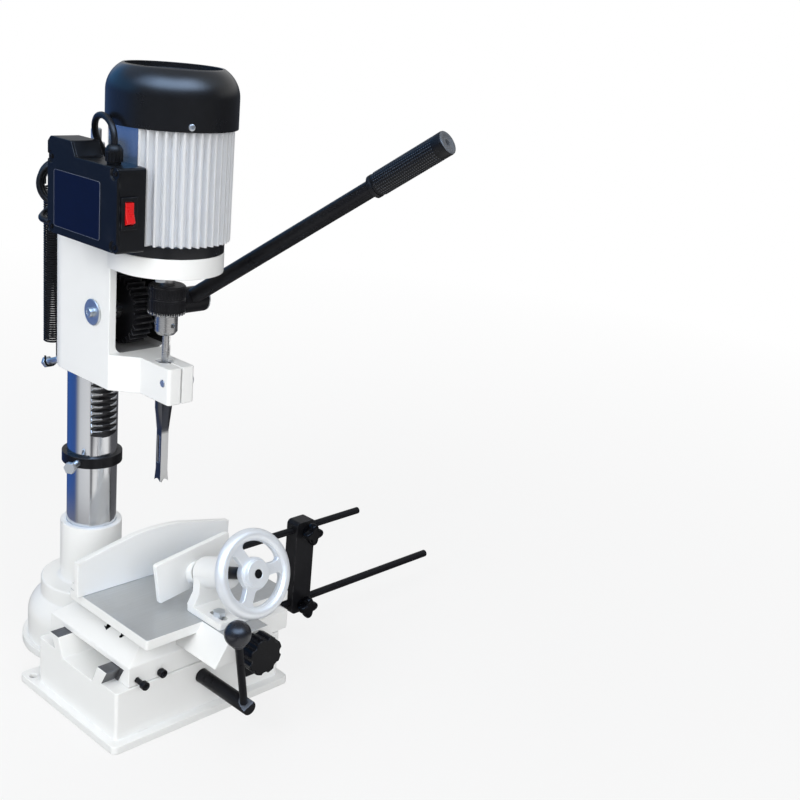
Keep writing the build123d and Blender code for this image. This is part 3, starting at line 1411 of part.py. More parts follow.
with BuildPart() as cord_gland:
    gland_dome_z = gland_neck_h + gland_nut_h
    with BuildSketch(Plane((gland_x, gland_y, box_top_z), x_dir=(1, 0, 0), z_dir=(0, -1, 0))):
        with BuildLine():
            Polyline((gland_tip_r, gland_l), (0, gland_l), (0, 0), (gland_neck_r, 0),
                     (gland_neck_r, gland_neck_h), (gland_r, gland_neck_h), (gland_r, gland_dome_z))
            TangentArc((gland_r, gland_dome_z), (gland_tip_r, gland_l), tangent=(0, 1))
        make_face()
    revolve(axis=Axis((gland_x, gland_y, box_top_z), (0, 0, 1)))
    with BuildSketch(Plane((gland_x, gland_y, box_top_z + gland_neck_h))):
        with PolarLocations(gland_r, gland_ribs):
            Circle(gland_rib_r)
    extrude(amount=gland_nut_h, mode=Mode.SUBTRACT)

# Return spring of round wire with a hook at each end
coil_pitch = (spring_top_z - spring_bottom_z) / spring_turns
bolt_at_spring = along_bolt(spring_y).origin.Z
hook_low_z = bolt_at_spring - (spring_bolt_r + spring_wire_r + slide_gap) / bolt_way.Y
coil_corners = ((1, 1), (-1, 1), (-1, -1), (1, -1))
spring_points = [
    (-spring_r, spring_y, hook_hole_z - spring_r - hook_lead),
    (-spring_r, spring_y, hook_hole_z),
    (spring_r, spring_y, hook_hole_z),
    (spring_r, spring_y, spring_top_z),
]
spring_bends = [hook_lead + hook_bend / 2, hook_lead + hook_bend / 2, hook_bend]
for turn in range(spring_turns):
    for index, (side_x, side_y) in enumerate(coil_corners):
        height = spring_top_z - coil_pitch * (turn + (index + 0.5) / len(coil_corners))
        spring_points.append((spring_r * side_x, spring_y + spring_r * side_y, height))
        first = turn == 0 and index == 0
        last = turn == spring_turns - 1 and index == len(coil_corners) - 1
        spring_bends.append(spring_r - hook_bend - slide_gap if first or last else spring_r - slide_gap)
spring_points += [
    (spring_r, spring_y, spring_bottom_z),
    (spring_r, spring_y, hook_low_z),
    (-spring_r, spring_y, hook_low_z),
    (-spring_r, spring_y, hook_low_z + spring_r + hook_lead),
]
spring_bends += [hook_bend, hook_lead + hook_bend / 2, hook_lead + hook_bend / 2]
with BuildPart() as return_spring:
    with BuildLine() as spring_path:
        FilletPolyline(*spring_points, radius=spring_bends)
    with BuildSketch(Plane(spring_points[0], z_dir=(0, 0, 1))):
        Circle(spring_wire_r)
    sweep(path=spring_path.wires()[0])

# Mains lead: from the gland over the box to a hank, then to the plug on the head
hank_way = Vector(1, 0, 0).rotate(Axis.Z, hank_turn)
hank_side = Vector(0, 1, 0).rotate(Axis.Z, hank_turn)
hank_centre = Vector(hank_x, hank_y, hank_z)
hank_flat = hank_half_l - hank_half_h + hank_half_h * math.tan(math.pi / 8)
hank_rise = hank_half_h * math.tan(math.pi / 8)


def on_hank(along, side, up):
    """Point of the hank from its centre: along its length, across it and up."""
    point = hank_centre + hank_way * along + hank_side * side + Vector(0, 0, up)
    return point.X, point.Y, point.Z


def middle(first, second):
    """Point half way between two points."""
    return tuple((a + b) / 2 for a, b in zip(first, second))


gland_tip = (gland_x, gland_y, box_top_z + gland_l)
relief_end = (plug_x - relief_l, plug_y, head_top_z + slide_gap + plug_t / 2)
hank_points = []
hank_bends = []
hank_radius = hank_half_h * hank_bend
for loop in range(hank_loops):
    side = (loop - (hank_loops - 1) / 2) * hank_step
    next_side = side + hank_step
    loop_points = [
        on_hank(hank_half_l, side, hank_rise),
        on_hank(hank_half_l, side, -hank_rise),
        on_hank(hank_flat, side, -hank_half_h),
    ]
    if loop < hank_loops - 1:
        loop_points += [
            on_hank(-hank_flat, next_side, -hank_half_h),
            on_hank(-hank_half_l, next_side, -hank_rise),
            on_hank(-hank_half_l, next_side, hank_rise),
            on_hank(-hank_flat, next_side, hank_half_h),
            on_hank(hank_flat, next_side, hank_half_h),
        ]
    hank_points += loop_points
    hank_bends += [hank_radius] * len(loop_points)
hank_points.insert(0, on_hank(*entry_point))
hank_bends.insert(0, lead_bend)
cord_break = middle(lead_points[-1], hank_points[0])
hank_end = on_hank(-hank_flat, next_side, -hank_half_h)
hank_path_points = [cord_break] + hank_points + [hank_end] + list(tail_points) + [relief_end]
hank_path_bends = hank_bends + [tail_bend] * (1 + len(tail_points))

with BuildPart() as power_cord:
    with BuildLine() as lead_path:
        FilletPolyline(gland_tip, *lead_points, cord_break, radius=[lead_bend] * len(lead_points))
    with BuildSketch(Plane(gland_tip, z_dir=(0, 0, 1))):
        Circle(cord_r)
    sweep(path=lead_path.wires()[0])

with BuildPart() as cord_hank:
    with BuildLine() as hank_path:
        FilletPolyline(*hank_path_points, radius=hank_path_bends)
    with BuildSketch(Plane(cord_break, z_dir=Vector(*hank_points[0]) - Vector(*cord_break))):
        Circle(cord_r)
    sweep(path=hank_path.wires()[0])

# Plug lying on the head behind the motor
plug_plane = Plane.XY.offset(head_top_z + slide_gap)
with BuildPart() as plug_body:
    with BuildSketch(plug_plane):
        with Locations((plug_x + plug_l / 2, plug_y)):
            RectangleRounded(plug_l, plug_w, plug_round)
    extrude(amount=plug_t)
    fillet(plug_body.edges().filter_by(Axis.Z, reverse=True).group_by(Axis.Z)[-1], plug_round / 2)
    with Locations(Plane(relief_end, z_dir=(1, 0, 0))):
        Cone(relief_tip_r, relief_r, relief_l, align=base_align)

with BuildPart() as plug_pins:
    pin_plane = Plane((plug_x + plug_l, plug_y, relief_end[2]), x_dir=(0, 1, 0), z_dir=(1, 0, 0))
    with BuildSketch(pin_plane):
        with Locations((-pin_spread, earth_drop / 2)):
            Rectangle(pin_w, pin_t, rotation=90 - pin_slant)
        with Locations((pin_spread, earth_drop / 2)):
            Rectangle(pin_w, pin_t, rotation=90 + pin_slant)
        with Locations((0, -earth_drop / 2)):
            Rectangle(pin_t, pin_w)
    extrude(amount=pin_l)


def least_gap(path, radius):
    """Least distance between the skins of stretches of one tube that are not neighbours."""
    wire = path.wires()[0]
    count = int(wire.length / radius)
    points = [wire.position_at(index / count) for index in range(count + 1)]
    skip = math.ceil(4 * math.pi)
    best = wire.length
    for index, point in enumerate(points):
        for other in points[index + skip:]:
            best = min(best, (point - other).length)
    return best - 2 * radius


pieces = {
    "base_casting": base_casting, "column": column, "column_cap": column_cap, "spring_stud": spring_stud,
    "hex_nuts": hex_nuts, "spring_arm": spring_arm, "lower_stop_rod": lower_stop_rod,
    "motor_stator": motor_stator, "depth_collar": depth_collar, "collar_bolt": collar_bolt,
    "stop_block": stop_block, "upper_stop_rod": upper_stop_rod, "upper_stop_knob": upper_stop_knob,
    "lower_stop_knob": lower_stop_knob, "feed_shaft": feed_shaft, "feed_lever": feed_lever,
    "feed_ball": feed_ball, "saddle": saddle, "saddle_gib": saddle_gib, "gib_screws": gib_screws,
    "feed_rack": feed_rack, "table": table, "fence": fence, "table_bolts": table_bolts,
    "cross_screw": cross_screw, "star_knob": star_knob, "clamp_bracket": clamp_bracket,
    "clamp_plate": clamp_plate, "clamp_screw": clamp_screw, "handwheel": handwheel,
    "head_casting": head_casting, "head_bolts": head_bolts, "spring_bolt": spring_bolt,
    "pinion_shaft": pinion_shaft, "drive_pinion": drive_pinion, "lever_hub": lever_hub,
    "shaft_end_screws": shaft_end_screws, "lever_bar": lever_bar, "lever_grip": lever_grip,
    "motor_end_shield": motor_end_shield, "motor_housing": motor_housing, "motor_bearings": motor_bearings,
    "motor_shaft": motor_shaft, "cooling_fan": cooling_fan, "fan_cover": fan_cover, "chuck_body": chuck_body,
    "chuck_sleeve": chuck_sleeve, "auger_bit": auger_bit, "mortise_chisel": mortise_chisel,
    "switch_box": switch_box, "box_lid": box_lid, "pan_screws": pan_screws, "switch_bezel": switch_bezel,
    "rocker_switch": rocker_switch, "cord_gland": cord_gland, "return_spring": return_spring,
    "power_cord": power_cord, "cord_hank": cord_hank, "plug_body": plug_body, "plug_pins": plug_pins,
}
os.makedirs("parts", exist_ok=True)
for name, piece in pieces.items():
    piece.part.label = name
    export_step(piece.part, f"parts/{name}.step")

print("pieces", len(pieces))
for label, path, radius, piece in (
    ("spring", spring_path, spring_wire_r, return_spring),
    ("lead", lead_path, cord_r, power_cord),
    ("hank", hank_path, cord_r, cord_hank),
):
    length = path.wires()[0].length
    share = piece.part.volume / (math.pi * radius ** 2 * length)
    gap = least_gap(path, radius)
    print(label, "length", round(length, 1), "volume share", round(share, 4), "least gap", round(gap, 2))
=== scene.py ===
"""A bench mortiser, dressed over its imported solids."""

import json
import math

import bmesh
import bpy
from mathutils import Matrix, Vector
from mathutils.bvhtree import BVHTree

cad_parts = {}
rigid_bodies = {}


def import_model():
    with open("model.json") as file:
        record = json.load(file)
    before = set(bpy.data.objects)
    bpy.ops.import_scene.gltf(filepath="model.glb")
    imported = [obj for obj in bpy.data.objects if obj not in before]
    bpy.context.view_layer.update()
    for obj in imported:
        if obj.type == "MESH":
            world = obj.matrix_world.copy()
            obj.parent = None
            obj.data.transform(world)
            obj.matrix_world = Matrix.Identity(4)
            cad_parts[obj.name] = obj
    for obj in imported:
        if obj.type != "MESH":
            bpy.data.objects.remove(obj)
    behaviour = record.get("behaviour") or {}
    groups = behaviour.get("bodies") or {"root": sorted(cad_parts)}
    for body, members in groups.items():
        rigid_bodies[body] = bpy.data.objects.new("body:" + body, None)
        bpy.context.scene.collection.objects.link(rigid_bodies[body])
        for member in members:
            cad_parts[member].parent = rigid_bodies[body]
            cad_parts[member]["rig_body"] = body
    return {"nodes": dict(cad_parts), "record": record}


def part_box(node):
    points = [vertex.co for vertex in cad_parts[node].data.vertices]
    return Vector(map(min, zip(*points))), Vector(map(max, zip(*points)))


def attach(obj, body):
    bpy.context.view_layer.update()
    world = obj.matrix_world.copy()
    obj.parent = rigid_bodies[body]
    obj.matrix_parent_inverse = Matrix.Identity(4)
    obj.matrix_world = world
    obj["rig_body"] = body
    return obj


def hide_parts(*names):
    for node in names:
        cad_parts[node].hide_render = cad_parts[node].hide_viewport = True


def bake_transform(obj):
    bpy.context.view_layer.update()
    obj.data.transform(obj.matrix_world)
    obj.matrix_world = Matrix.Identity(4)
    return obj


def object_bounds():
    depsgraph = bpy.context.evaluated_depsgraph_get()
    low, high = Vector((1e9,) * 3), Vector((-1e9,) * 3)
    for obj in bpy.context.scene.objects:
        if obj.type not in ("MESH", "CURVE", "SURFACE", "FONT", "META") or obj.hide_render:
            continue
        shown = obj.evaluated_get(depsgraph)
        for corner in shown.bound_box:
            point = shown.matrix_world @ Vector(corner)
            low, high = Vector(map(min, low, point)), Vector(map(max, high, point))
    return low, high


bl_info = {
    "name": "Bench mortiser",
    "version": (1, 0, 0),
    "blender": (4, 5, 0),
    "location": "View3D > Sidebar > Mortiser",
    "description": "Dresses the packed solids of a bench mortiser with finishes and small parts",
    "category": "Object",
}

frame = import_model()
cad_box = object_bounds()
MM = 0.001
X, Y, Z = Vector((1.0, 0.0, 0.0)), Vector((0.0, 1.0, 0.0)), Vector((0.0, 0.0, 1.0))


class MortiserSizes(bpy.types.PropertyGroup):
    """Sizes that the small parts are made to."""

    cord_diameter: bpy.props.FloatProperty(
        name="Cord diameter", description="Outside diameter of the mains lead",
        default=0.007, min=0.002, unit="LENGTH")
    spring_turns: bpy.props.IntProperty(
        name="Spring turns", description="Close wound turns between the two hooks", default=66, min=10)
    spring_wire: bpy.props.FloatProperty(
        name="Spring wire", description="Radius of the spring's wire",
        default=0.00125, min=0.0002, unit="LENGTH")
    spring_radius: bpy.props.FloatProperty(
        name="Spring radius", description="Radius of the coil at the middle of its wire",
        default=0.0082, min=0.001, unit="LENGTH")
    casting_round: bpy.props.FloatProperty(
        name="Casting edge", description="Rounding on the edges of the painted castings",
        default=0.0011, min=0.0, unit="LENGTH")
    machined_round: bpy.props.FloatProperty(
        name="Machined edge", description="Broken edge on turned and milled parts",
        default=0.0004, min=0.0, unit="LENGTH")
    grip_stud: bpy.props.FloatProperty(
        name="Grip stud", description="Radius of the studs on the handle's grip",
        default=0.00105, min=0.0002, unit="LENGTH")
    grip_rows: bpy.props.IntProperty(
        name="Grip rows", description="Rows of studs round the handle's grip", default=26, min=4)
    plate_thickness: bpy.props.FloatProperty(
        name="Plate thickness", description="Thickness of the blank plates",
        default=0.0006, min=0.0002, unit="LENGTH")


class MortiserColours(bpy.types.PropertyGroup):
    """Colours of the finishes."""

    paint: bpy.props.FloatVectorProperty(
        name="Casting paint", description="White enamel of the castings",
        subtype="COLOR", size=3, default=(0.84, 0.842, 0.828), min=0.0, max=1.0)
    black: bpy.props.FloatVectorProperty(
        name="Black enamel", description="Satin black of the fan cover and the end shield",
        subtype="COLOR", size=3, default=(0.005, 0.0055, 0.007), min=0.0, max=1.0)
    rocker: bpy.props.FloatVectorProperty(
        name="Rocker", description="Red of the switch rocker",
        subtype="COLOR", size=3, default=(0.70, 0.008, 0.010), min=0.0, max=1.0)
    plate: bpy.props.FloatVectorProperty(
        name="Blank plate", description="Dark blue of the bare plate on the switch box",
        subtype="COLOR", size=3, default=(0.0012, 0.0026, 0.019), min=0.0, max=1.0)


class Wire:
    """A shader socket in a Python expression: each sign adds its Math node."""

    def __init__(self, nodes, socket):
        self.nodes, self.socket = nodes, socket

    def math(self, operation, *values):
        return self.nodes.node("ShaderNodeMath", {"operation": operation}, dict(enumerate(values)))

    def __add__(self, other):
        return self.math("ADD", self, other)

    def __radd__(self, other):
        return self.math("ADD", other, self)

    def __sub__(self, other):
        return self.math("SUBTRACT", self, other)

    def __rsub__(self, other):
        return self.math("SUBTRACT", other, self)

    def __mul__(self, other):
        return self.math("MULTIPLY", self, other)

    def __rmul__(self, other):
        return self.math("MULTIPLY", other, self)

    def __truediv__(self, other):
        return self.math("DIVIDE", self, other)

    def __rtruediv__(self, other):
        return self.math("DIVIDE", other, self)


class Nodes:
    """A node tree that is filled from Python expressions."""

    def __init__(self, tree):
        self.tree = tree
        tree.nodes.clear()

    def node(self, kind, settings=None, sockets=None, out=0):
        """Adds a node with its settings, values and links, and gives one of its outputs."""
        made = self.tree.nodes.new(kind)
        for key, value in (settings or {}).items():
            if key == "stops":
                ramp = made.color_ramp
                while len(ramp.elements) < len(value):
                    ramp.elements.new(1.0)
                for element, (place, level) in zip(ramp.elements, value):
                    shade = level if isinstance(level, tuple) else (level,) * 3
                    element.position = place
                    element.color = (*shade, 1.0)
            else:
                setattr(made, key, value)
        for key, value in (sockets or {}).items():
            if isinstance(value, Wire):
                self.tree.links.new(value.socket, made.inputs[key])
            else:
                made.inputs[key].default_value = value
        return Wire(self, made.outputs[out]) if made.outputs else made

    def outputs(self, kind, *names):
        """The named outputs of one node."""
        made = self.node(kind).socket.node
        return [Wire(self, made.outputs[name]) for name in names]

    def axes(self, vector):
        """The x, the y and the z of a vector."""
        split = self.node("ShaderNodeSeparateXYZ", None, {0: vector}).socket.node
        return [Wire(self, out) for out in split.outputs]

    def ramp(self, value, *stops):
        return self.node("ShaderNodeValToRGB", {"stops": stops}, {0: value})

    def rise(self, value, low, high):
        """0 up to one level of a value, 1 from another on, and a slope between them."""
        return self.ramp(value, (low, 0.0), (high, 1.0))

    def blend(self, factor, first, second):
        first = first if isinstance(first, Wire) else (*first, 1.0)
        second = second if isinstance(second, Wire) else (*second, 1.0)
        return self.node(
            "ShaderNodeMix", {"data_type": "RGBA"}, {0: factor, 6: first, 7: second}, out=2)


class Finish(Nodes):
    """A procedural material: one Principled shader and what varies over its surface."""

    def __init__(self, name, **constants):
        self.material = bpy.data.materials.new(name)
        self.material.use_nodes = True
        super().__init__(self.material.node_tree)
        self.shader = self.node("ShaderNodeBsdfPrincipled").socket.node
        for key, value in constants.items():
            self.shader.inputs[key.replace("_", " ")].default_value = value
        self.node("ShaderNodeOutputMaterial", None, {0: Wire(self, self.shader.outputs[0])})
        self.here = self.node("ShaderNodeTexCoord", out="Object")

    def stretched(self, x, y, z):
        """Object coordinates, stretched so that a grain runs along the axis with the least factor."""
        return self.node("ShaderNodeMapping", None, {0: self.here, "Scale": (x, y, z)})

    def noise(self, scale, detail=3.0, rough=0.55, where=None):
        return self.node(
            "ShaderNodeTexNoise", None,
            {"Vector": where or self.here, "Scale": scale, "Detail": detail, "Roughness": rough})

    def specks(self, scale, low, high):
        """Scattered specks where dust or dirt has settled."""
        return self.rise(self.noise(scale, 6.0, 0.7), low, high)

    def edges(self):
        """1 on the rounded edges of a dressed copy, 0 elsewhere."""
        return self.node("ShaderNodeAttribute", {"attribute_name": "edge"}, out="Fac")

    def worn(self, scale, low, high, detail=4.0, rough=0.55):
        """Patches of the rounded edges where the finish has rubbed off."""
        return self.edges() * self.rise(self.noise(scale, detail, rough), low, high)

    def set(self, **links):
        for key, value in links.items():
            self.tree.links.new(value.socket, self.shader.inputs[key.replace("_", " ")])

    def bump(self, height, strength, distance):
        relief = {"Strength": strength, "Distance": distance, "Height": height}
        self.set(Normal=self.node("ShaderNodeBump", None, relief, out="Normal"))


def casting_paint(colour):
    """Gloss enamel over a rubbed down casting, a little thin on the edges."""
    f = Finish("cream_paint", Coat_Roughness=0.14, Specular_IOR_Level=0.4)
    clouds = f.noise(9.0, 4.0)
    grime = f.specks(38.0, 0.56, 0.80)
    shade = f.blend(clouds * 0.35, colour, [c * 0.965 for c in colour])
    shade = f.blend(grime * 0.08, shade, (0.56, 0.55, 0.52))
    worn = f.worn(55.0, 0.50, 0.66, 5.0, 0.65)
    f.set(Base_Color=f.blend(worn * 0.26, shade, (0.60, 0.59, 0.56)))
    f.set(Roughness=0.30 + f.noise(24.0) * 0.14 + worn * 0.12)
    f.set(Coat_Weight=0.30 - grime * 0.20)
    f.bump(f.noise(70.0, 2.0) * 0.7 + f.noise(420.0, 2.0) * 0.3, 0.16, 0.0006)
    return f.material


def black_enamel(colour):
    """Satin black spray with a fine grain."""
    f = Finish("black_paint", Coat_Roughness=0.24, Specular_IOR_Level=0.5)
    dust = f.specks(46.0, 0.55, 0.85)
    shade = f.blend(dust * 0.14, colour, (0.030, 0.032, 0.037))
    f.set(Base_Color=f.blend(f.worn(90.0, 0.48, 0.62) * 0.30, shade, (0.05, 0.052, 0.058)))
    f.set(Roughness=0.24 + f.noise(32.0) * 0.10)
    f.set(Coat_Weight=0.35 - dust * 0.15)
    f.bump(f.noise(520.0, 2.0) * 0.6 + f.noise(120.0, 2.0) * 0.4, 0.12, 0.0004)
    return f.material


def dull_primer(name, low, high):
    """Dull paint inside the head's window, its bore and the small holes, painted there as shade."""
    f = Finish(name, Specular_IOR_Level=0.2)
    clouds = f.noise(40.0, 5.0)
    f.set(Base_Color=f.blend(clouds, (low,) * 3, (high,) * 3))
    f.set(Roughness=0.62 + clouds * 0.2)
    f.bump(f.noise(260.0, 3.0), 0.3, 0.0006)
    return f.material


def silver_hammer():
    """Silver hammer paint, dimpled all over."""
    f = Finish("silver_paint", Coat_Weight=0.25, Coat_Roughness=0.2)
    cells = f.node(
        "ShaderNodeTexVoronoi", {"feature": "SMOOTH_F1"}, {"Vector": f.here, "Scale": 210.0}, out="Distance")
    patches = f.noise(30.0, 4.0)
    shade = f.blend(patches, (0.70, 0.73, 0.765), (0.80, 0.825, 0.85))
    f.set(Base_Color=f.blend(f.worn(80.0, 0.45, 0.65) * 0.4, shade, (0.82, 0.83, 0.84)))
    f.set(Metallic=0.28 + patches * 0.1)
    f.set(Roughness=0.28 + cells * 0.22)
    f.bump(cells * 0.8 + f.noise(90.0) * 0.2, 0.22, 0.0006)
    return f.material


def polished_steel():
    """Ground and polished bar, with fine rings round it."""
    f = Finish("polished_steel", Metallic=1.0)
    turned = f.noise(60.0, 4.0, 0.7, f.stretched(0.6, 0.6, 40.0))
    haze = f.noise(14.0, 4.0)
    f.set(Base_Color=f.blend(haze, (0.66, 0.67, 0.69), (0.76, 0.765, 0.775)))
    f.set(Roughness=0.11 + turned * 0.07 + haze * 0.05)
    f.bump(turned, 0.04, 0.0003)
    return f.material


def rack_steel():
    """Cut rack teeth: their cut faces dark steel, paler and rougher in patches."""
    f = Finish("rack_steel", Metallic=0.9)
    oil = f.noise(90.0, 5.0, 0.65)
    f.set(Base_Color=f.blend(oil, (0.035, 0.035, 0.038), (0.13, 0.13, 0.135)))
    f.set(Roughness=0.26 + oil * 0.22)
    f.bump(f.noise(180.0, 3.0, 0.6, f.stretched(0.3, 3.0, 3.0)), 0.12, 0.0004)
    return f.material


def tool_steel():
    """Hardened steel with a blue black heat tint and bright ground corners."""
    f = Finish("tool_steel", Metallic=0.95)
    drawn = f.noise(160.0, 4.0, 0.6, f.stretched(3.0, 3.0, 0.15))
    tint = f.noise(26.0, 4.0)
    shade = f.blend(tint, (0.055, 0.058, 0.068), (0.17, 0.17, 0.18))
    f.set(Base_Color=f.blend(f.edges() * 0.8, shade, (0.55, 0.55, 0.55)))
    f.set(Roughness=0.24 + drawn * 0.20)
    f.bump(drawn, 0.12, 0.0003)
    return f.material


def bright_steel():
    """Turned bright steel of the shanks, the chuck's nose and the drill."""
    f = Finish("bright_steel", Metallic=1.0)
    turned = f.noise(120.0, 4.0, 0.65, f.stretched(0.5, 0.5, 9.0))
    f.set(Base_Color=f.blend(f.noise(22.0, 4.0), (0.52, 0.52, 0.52), (0.66, 0.655, 0.65)))
    f.set(Roughness=0.20 + turned * 0.16)
    f.bump(turned, 0.03, 0.0002)
    return f.material


def black_oxide(name, metal, gloss):
    """Oiled black oxide on turned steel."""
    f = Finish(name, Metallic=metal, Coat_Weight=0.5 * metal, Coat_Roughness=0.22, Specular_IOR_Level=gloss)
    oil = f.noise(34.0, 5.0, 0.65)
    shade = f.blend(oil, (0.004, 0.004, 0.005), (0.014, 0.014, 0.016))
    f.set(Base_Color=f.blend(f.worn(110.0, 0.44, 0.64) * 0.45, shade, (0.12, 0.12, 0.125)))
    f.set(Roughness=0.22 + oil * 0.14)
    f.bump(f.noise(300.0, 3.0), 0.06, 0.0003)
    return f.material


def zinc_plate():
    """Blue zinc plate on screws, nuts and washers."""
    f = Finish("zinc", Metallic=0.9)
    bloom = f.noise(70.0, 5.0, 0.65)
    shade = f.blend(bloom, (0.56, 0.60, 0.64), (0.76, 0.78, 0.79))
    # The rounded edges are painted paler: a painted highlight.
    f.set(Base_Color=f.blend(f.edges() * 0.5, shade, (0.82, 0.83, 0.83)))
    f.set(Roughness=0.24 + bloom * 0.20)
    f.bump(f.noise(260.0, 3.0), 0.08, 0.0003)
    return f.material


def ground_iron(name, dark, pale, stained):
    """Surface ground cast iron: long scratches across, a few stains."""
    f = Finish(name, Metallic=0.7)
    lines = f.noise(130.0, 5.0, 0.7, f.stretched(0.06, 4.0, 4.0))
    stain = f.specks(17.0, 0.48, 0.82)
    f.set(Base_Color=f.blend(stain * 0.35, f.blend(lines, dark, pale), stained))
    f.set(Roughness=0.30 + lines * 0.14 + stain * 0.08)
    f.bump(lines, 0.10, 0.0003)
    return f.material


def bare_aluminium():
    """Drawn aluminium of the motor's ribs, with streaks down them."""
    f = Finish("bare_aluminium", Metallic=0.35)
    drawn = f.noise(170.0, 4.0, 0.65, f.stretched(3.0, 3.0, 0.05))
    patches = f.noise(16.0, 4.0)
    shade = f.blend(drawn, (0.76, 0.77, 0.785), (0.88, 0.885, 0.89))
    f.set(Base_Color=f.blend(patches * 0.2, shade, (0.66, 0.67, 0.70)))
    f.set(Roughness=0.30 + drawn * 0.12)
    f.bump(drawn, 0.05, 0.0002)
    return f.material


def bright_aluminium():
    """The smooth flat beside the ribs, where the box is bolted on."""
    f = Finish("bright_aluminium", Metallic=0.95)
    drawn = f.noise(170.0, 4.0, 0.65, f.stretched(3.0, 3.0, 0.05))
    f.set(Base_Color=f.blend(drawn, (0.66, 0.68, 0.71), (0.78, 0.79, 0.80)))
    f.set(Roughness=0.16 + drawn * 0.14)
    f.bump(drawn, 0.06, 0.0003)
    return f.material


# The height of the chisel's shoulder, and how far its tint fades to each side of it.
CHISEL_SHOULDER, SHOULDER_FADE = 0.3230, 0.0015


def ground_flank():
    """The chisel's flank: ground bright below the shoulder, heat tinted above it."""
    f = Finish("ground_flank", Metallic=1.0)
    height = f.axes(f.here)[2]
    above = f.rise(height, CHISEL_SHOULDER - SHOULDER_FADE, CHISEL_SHOULDER + SHOULDER_FADE)
    drawn = f.noise(160.0, 4.0, 0.6, f.stretched(3.0, 3.0, 0.15))
    ground = f.blend(drawn, (0.58, 0.58, 0.58), (0.72, 0.72, 0.72))
    f.set(Base_Color=f.blend(above, ground, (0.06, 0.063, 0.075)))
    f.set(Roughness=0.26 + drawn * 0.2)
    f.bump(drawn, 0.10, 0.0003)
    return f.material


def stacked_laminations():
    """Thin blued sheets, stacked up."""
    f = Finish("laminations", Metallic=0.7, Roughness=0.45)
    sheets = f.node(
        "ShaderNodeTexWave", {"bands_direction": "Z"},
        {"Vector": f.here, "Scale": 320.0, "Distortion": 0.2}, out="Fac")
    f.set(Base_Color=f.blend(sheets, (0.06, 0.065, 0.08), (0.22, 0.23, 0.25)))
    f.bump(sheets, 0.3, 0.0004)
    return f.material


# The black mouldings: darkest and palest shade, roughness, scale and depth of the grain, and gloss.
MOULDED = {
    "black_plastic": ((0.004, 0.0045, 0.006), (0.010, 0.0105, 0.012), 0.30, 900.0, 0.14, 0.30),
    "knob_plastic": ((0.0025, 0.0025, 0.0035), (0.006, 0.006, 0.007), 0.14, 300.0, 0.04, 0.12),
    "ball_plastic": ((0.010, 0.011, 0.015), (0.022, 0.023, 0.028), 0.20, 300.0, 0.04, 0.5),
    "grip_rubber": ((0.004, 0.004, 0.005), (0.011, 0.011, 0.013), 0.36, 700.0, 0.16, 0.32),
    "grip_studs": ((0.008, 0.009, 0.012), (0.020, 0.021, 0.026), 0.20, 700.0, 0.06, 0.9),
    "grip_cap": ((0.09, 0.10, 0.115), (0.17, 0.18, 0.20), 0.30, 700.0, 0.12, 0.5),
    "cord_rubber": ((0.005, 0.005, 0.006), (0.012, 0.012, 0.013), 0.32, 500.0, 0.10, 0.45),
}


def moulded_black(name, low, high, rough, grain, depth, gloss):
    """Moulded black plastic or rubber: a fine grain, dust in it and paler edges."""
    f = Finish(name, Specular_IOR_Level=gloss)
    shade = f.blend(f.specks(42.0, 0.52, 0.84), low, high)
    f.set(Base_Color=f.blend(f.worn(120.0, 0.46, 0.64) * 0.4, shade, (0.06, 0.06, 0.065)))
    f.set(Roughness=rough + f.noise(60.0) * 0.14)
    f.bump(f.noise(grain, 2.0), depth, 0.0004)
    return f.material


def red_rocker(colour):
    """Clear red moulding of the rocker."""
    f = Finish("red_plastic", Coat_Weight=0.5, Coat_Roughness=0.10, Specular_IOR_Level=0.5)
    clouds = f.noise(120.0, 4.0)
    shade = f.blend(clouds * 0.5, colour, [c * 0.7 for c in colour])
    # The rounded edges are a paler red: a painted highlight.
    f.set(Base_Color=f.blend(f.edges() * 0.30, shade, (0.82, 0.07, 0.06)))
    f.set(Roughness=0.22 + clouds * 0.12)
    f.bump(f.noise(500.0, 2.0), 0.05, 0.0003)
    return f.material


def blank_plate(name, colour):
    """Printed aluminium plate with nothing on it but its even colour."""
    f = Finish(name, Coat_Weight=0.08, Coat_Roughness=0.2, Specular_IOR_Level=0.22)
    clouds = f.noise(60.0, 5.0)
    f.set(Base_Color=f.blend(clouds, colour, [0.7 * c + 0.001 for c in colour]))
    f.set(Roughness=0.26 + clouds * 0.14)
    f.bump(f.noise(300.0, 3.0), 0.05, 0.0002)
    return f.material


def brass_pins():
    """Plain brass of the plug's pins."""
    f = Finish("brass", Metallic=1.0)
    drawn = f.noise(200.0, 4.0)
    f.set(Base_Color=f.blend(drawn, (0.55, 0.46, 0.28), (0.70, 0.60, 0.38)))
    f.set(Roughness=0.22 + drawn * 0.15)
    f.bump(drawn, 0.06, 0.0002)
    return f.material


FINISH = {}

# Solids whose finish is finer than the record's slot says.
OWN_FINISH = {
    "auger_bit": "bright_steel",
    "motor_shaft": "bright_steel",
    "pinion_shaft": "bright_steel",
    "chuck_body": "bright_steel",
    "feed_ball": "ball_plastic",
    # The gib is bare iron darkened as painted shade.
    "saddle_gib": "way_iron",
    "feed_rack": "rack_steel",
    "feed_lever": "dull_oxide",
}
RECORD_SLOT = {part["node"]: part["material_slot"] for part in frame["record"]["subparts"]}


def finish_of(node):
    """A solid's own finish, or the one of its slot."""
    return FINISH[OWN_FINISH.get(node, RECORD_SLOT[node])]


def settle(piece, body, slot, *nodes):
    """Puts a finished piece on its body, in place of the solids that it stands for."""
    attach(piece, body)
    if nodes:
        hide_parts(*nodes)
    return piece


def stand_in(piece, node):
    """Puts a finished piece in place of one solid."""
    return settle(piece, frame["nodes"][node]["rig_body"], RECORD_SLOT[node], node)


def add_object(name, data, *materials):
    """A new object in the scene, with its materials."""
    made = bpy.data.objects.new(name, data)
    bpy.context.scene.collection.objects.link(made)
    for material in materials:
        made.data.materials.append(material)
    return made


